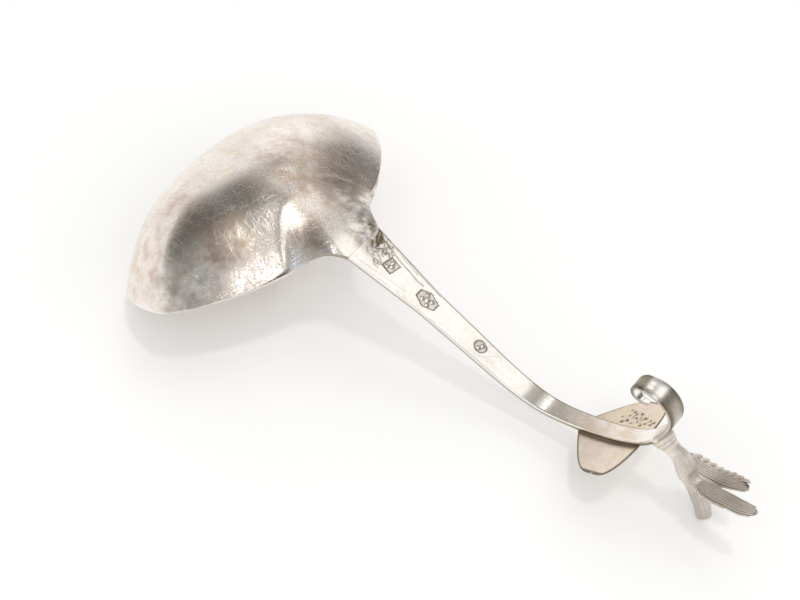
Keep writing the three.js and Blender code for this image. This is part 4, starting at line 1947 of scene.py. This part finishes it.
@dataclass
class Studio:
    """Pale floor, soft surroundings, lamps and the camera."""

    eye: Triple = (0.122684, -0.17765, 0.280403)
    right: Triple = (0.7934, 0.6088, 0.0)
    up: Triple = (-0.4663, 0.6077, 0.6428)
    back: Triple = (0.3913, -0.5100, 0.7660)
    lens: float = 67.5
    sensor: float = 36.0
    nearest: float = 0.01
    floor_size: float = 8.0
    floor_albedo: float = 0.9
    floor_mottle: float = 0.98
    floor_cloud: Cloud = Cloud(0.02, 4.0)
    floor_glow: float = 0.44
    shade_reach: float = 0.035
    sky: Step = (0.3, 0.85, 0.94, 0.34)
    tint_step: tuple[float, float] = (0.1, 0.8)
    horizon_tint: Triple = (1.0, 0.995, 0.985)
    ceiling_tint: Triple = (1.0, 0.985, 0.96)
    patches: tuple[Patch, ...] = (
        Patch(-72.0, 54.0, 10.0, 38.0, 0.12),
        Patch(174.0, 16.0, 9.0, 24.0, 0.12),
        Patch(132.0, 27.0, 8.0, 20.0, 0.12),
        Patch(-8.0, 63.0, 6.0, 12.0, 0.48),
        Patch(66.0, 66.0, 4.0, 16.0, 0.5),
        Patch(58.0, 60.0, 2.0, 9.0, 0.9),
        Patch(161.0, 56.0, 11.0, 17.0, 1.15),
        Patch(-153.0, 52.5, 3.5, 6.5, 2.0),
        Patch(-140.0, 13.0, 9.0, 20.0, 1.1),
    )
    lamps: tuple[Lamp, ...] = (
        Lamp("key_lamp", 105.0, 80.0, 1.5, 0.16, 2.4, (1.0, 0.985, 0.96)),
        Lamp("side_lamp", 50.0, 58.0, 0.95, 0.12, 0.3),
        Lamp("window", -1.0, 57.0, 1.1, 0.08, 0.09, (0.55, 0.78, 1.0)),
    )

    def build(self) -> None:
        """Sets up everything that isn't part of the spoon."""
        self._camera()
        self._floor()
        self._world()
        for lamp in self.lamps:
            lamp.hang()
        bpy.context.scene.view_settings.view_transform = "Standard"

    def _camera(self) -> None:
        """Places the camera at the picture's viewing angle."""
        data = bpy.data.cameras.new("camera")
        data.lens, data.sensor_width, data.clip_start = self.lens, self.sensor, self.nearest
        camera = bpy.data.objects.new("camera", data)
        bpy.context.scene.collection.objects.link(camera)
        turn = Matrix([self.right, self.up, self.back]).transposed().to_4x4()
        camera.matrix_world = Matrix.Translation(self.eye) @ turn
        bpy.context.scene.camera = camera

    def _floor(self) -> None:
        """Lays the pale table, which looks white where nothing stands close to it."""
        half = self.floor_size / 2.0
        mesh = bpy.data.meshes.new("floor")
        corners = [(-half, -half, 0.0), (half, -half, 0.0), (half, half, 0.0), (-half, half, 0.0)]
        mesh.from_pydata(corners, [], [(0, 1, 2, 3)])
        floor = new_object("floor", mesh)
        material = bpy.data.materials.new("pale table")
        material.use_nodes = True
        bench = Bench(material.node_tree)
        pale = (self.floor_albedo,) * 3
        duller = (self.floor_albedo * self.floor_mottle,) * 3
        tone = bench.blend(bench.cloud(bench.place(), self.floor_cloud), pale, duller)
        paint = bench.node("ShaderNodeBsdfDiffuse", {"Color": tone})
        # The table's glow is dimmed close to the spoon by occlusion: a painted shadow on the table.
        reach = {"Distance": self.shade_reach}
        unshaded = bench.node("ShaderNodeAmbientOcclusion", reach, "AO")
        rays = bench.node("ShaderNodeLightPath", output="Is Camera Ray")
        seen = rays.at_least(rays.beside("Is Glossy Ray"))
        seen = seen.at_least(rays.beside("Is Transmission Ray"))
        strength = {"Strength": seen * unshaded * self.floor_glow}
        glow = bench.node("ShaderNodeEmission", strength)
        both = bench.node("ShaderNodeAddShader", {0: paint, 1: glow})
        bench.node("ShaderNodeOutputMaterial", {"Surface": both})
        mesh.materials.append(material)

    def _world(self) -> None:
        """Surrounds the table with a bright horizon, a dimmer ceiling and the patches."""
        world = bpy.data.worlds.new("studio")
        world.use_nodes = True
        bpy.context.scene.world = world
        bench = Bench(world.node_tree)
        way = bench.node("ShaderNodeTexCoord", output="Generated")
        height = bench.node("ShaderNodeSeparateXYZ", {0: way}, "Z")
        level = height.step(*self.sky)
        for patch in self.patches:
            edge, core = (math.cos(math.radians(a)) for a in (patch.outer, patch.inner))
            to = direction(patch.azimuth, patch.elevation)
            inside = bench.vector("DOT_PRODUCT", way, to, "Value").step(edge, core)
            level = level + (patch.level - level) * inside
        tint = bench.blend(height.step(*self.tint_step), self.horizon_tint, self.ceiling_tint)
        glow = bench.node("ShaderNodeBackground", {"Color": tint, "Strength": level})
        bench.node("ShaderNodeOutputWorld", {"Surface": glow})


# Finishes and engraving of this spoon


def engraving() -> list[Stamp | Stroke]:
    """The stamps and engraved lines on the handle's upper face.

    Returns:
        All of them.
    """
    stamps = [
        Stamp(Outline.SQUARE, -86.15, 0.4, 2.8, 3.5,
              ((-0.15, 0.42, 0.6), (0.2, -0.05, 0.55), (-0.3, -0.5, 0.5)), math.radians(-9.0)),
        Stamp(Outline.HEXAGON, -75.55, 0.05, 5.0, 4.3,
              ((0.0, 0.0, 0.75), (0.42, 0.22, 0.55), (-0.42, -0.22, 0.55), (-0.25, 0.5, 0.5),
               (0.25, -0.5, 0.5))),
        Stamp(Outline.ROUND, -60.7, 0.4, 3.0, 3.0, ((0.2, 0.35, 0.5), (-0.1, -0.35, 0.55))),
    ]
    border = [
        Stroke(((-92.0, 4.3), (-88.2, 3.54), (-85.6, 2.8), (-82.4, 2.42), (-80.0, 1.95),
                (-78.2, 2.0)), 0.12, 0.05, 0.7),
        Stroke(((-90.0, 4.75), (-87.6, 4.27), (-85.0, 3.9), (-82.8, 3.65), (-80.5, 3.3)),
               0.1, 0.04, 0.45),
        Stroke(((-88.0, 4.8), (-86.0, 4.55), (-83.9, 4.3), (-78.9, 3.42), (-74.0, 3.0)),
               0.09, 0.03, 0.35),
        Stroke(((-92.0, -4.3), (-88.2, -3.6), (-84.0, -2.9), (-80.0, -2.2)), 0.1, 0.03, 0.18),
        Stroke(((-88.0, -4.8), (-83.9, -4.25), (-78.9, -3.4)), 0.09, 0.03, 0.15),
    ]
    leaf = [
        Stroke(((-93.4, 5.3), (-92.6, 3.3), (-91.2, 1.7)), 0.16, 0.06, 0.75),
        Stroke(((-91.2, 1.7), (-91.5, 4.2), (-93.0, 5.3)), 0.15, 0.06, 0.75),
        Stroke(((-92.6, 4.9), (-91.9, 3.6), (-91.35, 2.3)), 0.22, 0.05, 0.5),
        Stroke(((-92.2, 4.9), (-91.6, 3.9)), 0.2, 0.05, 0.42),
        Stroke(((-92.9, 2.2), (-92.3, 1.0), (-91.5, 0.2)), 0.11, 0.05, 0.6),
        Stroke(((-92.8, -0.2), (-92.0, -1.0), (-90.6, -1.3)), 0.11, 0.05, 0.45),
        Stroke(((-90.9, -0.2), (-90.0, -1.5), (-88.9, -2.5), (-87.8, -2.4)), 0.12, 0.05, 0.6),
        Stroke(((-90.7, 0.4), (-89.6, 0.1), (-88.6, -0.4), (-88.1, -1.3)), 0.12, 0.05, 0.55),
        Stroke(((-88.8, 1.3), (-88.5, 2.4), (-87.7, 1.7)), 0.14, 0.05, 0.75),
        Stroke(((-89.5, 1.2), (-88.7, 0.6)), 0.12, 0.05, 0.7),
        Stroke(((-92.9, 3.6), (-92.2, 2.6), (-91.6, 2.2)), 0.13, 0.05, 0.6),
        Stroke(((-91.4, 0.9), (-90.6, 1.3), (-90.0, 2.2)), 0.12, 0.05, 0.6),
        Stroke(((-91.8, -0.3), (-90.9, 0.1), (-90.2, 0.9)), 0.11, 0.05, 0.5),
        Stroke(((-90.6, 4.6), (-89.6, 3.6), (-88.9, 3.3)), 0.11, 0.04, 0.55),
        Stroke(((-88.2, 3.1), (-87.6, 2.6), (-87.2, 2.9)), 0.12, 0.05, 0.6),
        Stroke(((-88.6, -2.0), (-87.9, -1.2), (-88.3, -0.6)), 0.11, 0.05, 0.5),
    ]
    curls = [
        curl(-90.0, 3.35, 200.0, -420.0, 1.05, 0.25),
        curl(-89.1, 4.1, 60.0, -250.0, 0.5, 0.2),
        curl(-89.4, 1.9, 150.0, -380.0, 0.75, 0.2),
        curl(-89.0, -1.3, 160.0, 360.0, 0.7, 0.2),
    ]
    return [*stamps, *border, *leaf, *curls]


BOWL_FINISH = Silver(
    "worn bowl silver",
    colour=(0.95, 0.90, 0.85),
    stain=(0.70, 0.57, 0.48),
    stain_amount=0.7,
    toning=0.25,
    roughness=0.24,
    cloudiness=0.08,
    hairlines=0.75,
    line_colour=0.42,
    spots=(
        ((-109.0, 18.0, 25.0), 3.0, 12.0, 0.5),
        ((-104.0, 8.0, 27.0), 2.0, 8.0, 0.4),
        ((-95.0, 3.0, 27.0), 2.0, 7.0, 0.75),
        ((-99.0, 5.5, 27.5), 2.0, 8.0, 0.5),
        ((-117.0, -19.5, 28.3), 3.0, 10.0, 0.5),
        ((-120.0, -31.0, 22.0), 3.0, 12.0, 0.6),
    ),
    blushes=(
        ((-117.5, 6.0, 32.0), 4.0, 15.0, 0.8),
        ((-110.0, 8.0, 29.0), 3.0, 12.0, 0.6),
        ((-118.5, -18.5, 28.5), 3.0, 9.0, 0.9),
        ((-133.0, -20.0, 27.0), 4.0, 12.0, 0.4),
        ((-134.5, -31.5, 18.5), 4.0, 12.0, 0.6),
        ((-104.0, -8.0, 27.0), 2.0, 7.0, 0.7),
    ),
)
HANDLE_FINISH = Silver(
    "bright handle silver",
    colour=(0.97, 0.95, 0.92),
    stain=(0.80, 0.67, 0.55),
    tarnish_and_shade=(0.21, 0.17, 0.10),
    stain_amount=0.14,
    toning=0.1,
    roughness=0.19,
    cloudiness=0.05,
    hairlines=0.16,
    line_colour=0.1,
    tilt=-21.6,
    lengthwise=0.5,
    spots=(((-93.0, 3.0, 26.0), 1.0, 6.0, 0.7), ((-90.0, 1.5, 25.2), 1.5, 5.0, 0.3)),
    blushes=(((-28.0, 0.0, 10.0), 7.0, 15.0, 0.8),),
)
PLATE_FINISH = Silver(
    "warm saddle silver",
    colour=(0.96, 0.86, 0.74),
    stain=(0.80, 0.62, 0.44),
    stain_amount=0.6,
    toning=0.6,
    roughness=0.32,
    cloudiness=0.12,
    hairlines=0.4,
    grain=0.04,
)
CAST_FINISH = Silver(
    "cast ornament silver",
    colour=(0.88, 0.83, 0.78),
    stain=(0.62, 0.55, 0.46),
    tarnish_and_shade=(0.13, 0.11, 0.09),
    stain_amount=0.7,
    toning=0.35,
    roughness=0.45,
    cloudiness=0.12,
    hairlines=0.3,
    grain=0.2,
)
FAR_WING = (
    (-8.7, 1.5, 15.1), (-6.4, 1.9, 14.2), (-3.4, 2.3, 13.3), (0.1, 2.5, 13.1), (3.4, 2.6, 14.2),
    (6.8, 2.8, 15.0),
)
NEAR_WING = (
    (-2.8, -1.7, 13.2), (0.7, -2.1, 13.6), (4.4, -2.4, 14.5), (7.7, -2.7, 15.3),
    (11.25, -3.0, 17.15),
)


def main() -> None:
    """Builds the spoon and the studio, piece by piece."""
    logging.basicConfig(level=logging.INFO, format="%(name)s: %(message)s")
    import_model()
    Studio().build()
    bowl = Bowl()
    bowl.build(BOWL_FINISH)
    handle = HandleStrip(bowl)
    handle.build(SweepTree(), HANDLE_FINISH, engraving())
    cords, beads = CordTree(), BeadTree()
    SaddlePlate(handle).build(cords, PLATE_FINISH)
    ornament = Ornament(handle)
    ornament.build_collar(CAST_FINISH)
    ornament.build_body(CAST_FINISH)
    far = Wing(
        "far_wing_feathered", "far_wing", FAR_WING, (0.8, 0.87, 0.93, 0.97, 1.0, 1.0, 0.97),
        crest=(0.1, 0.84, 8),
    )
    far.build(cords, beads, CAST_FINISH)
    near = Wing(
        "near_wing_feathered", "near_wing", NEAR_WING, (0.93, 0.97, 1.0, 1.0, 0.99, 0.96, 0.9),
        beads=(0.02, 0.5, 11, 0.42),
    )
    near.build(cords, beads, CAST_FINISH)


if __name__ == "__main__":
    main()
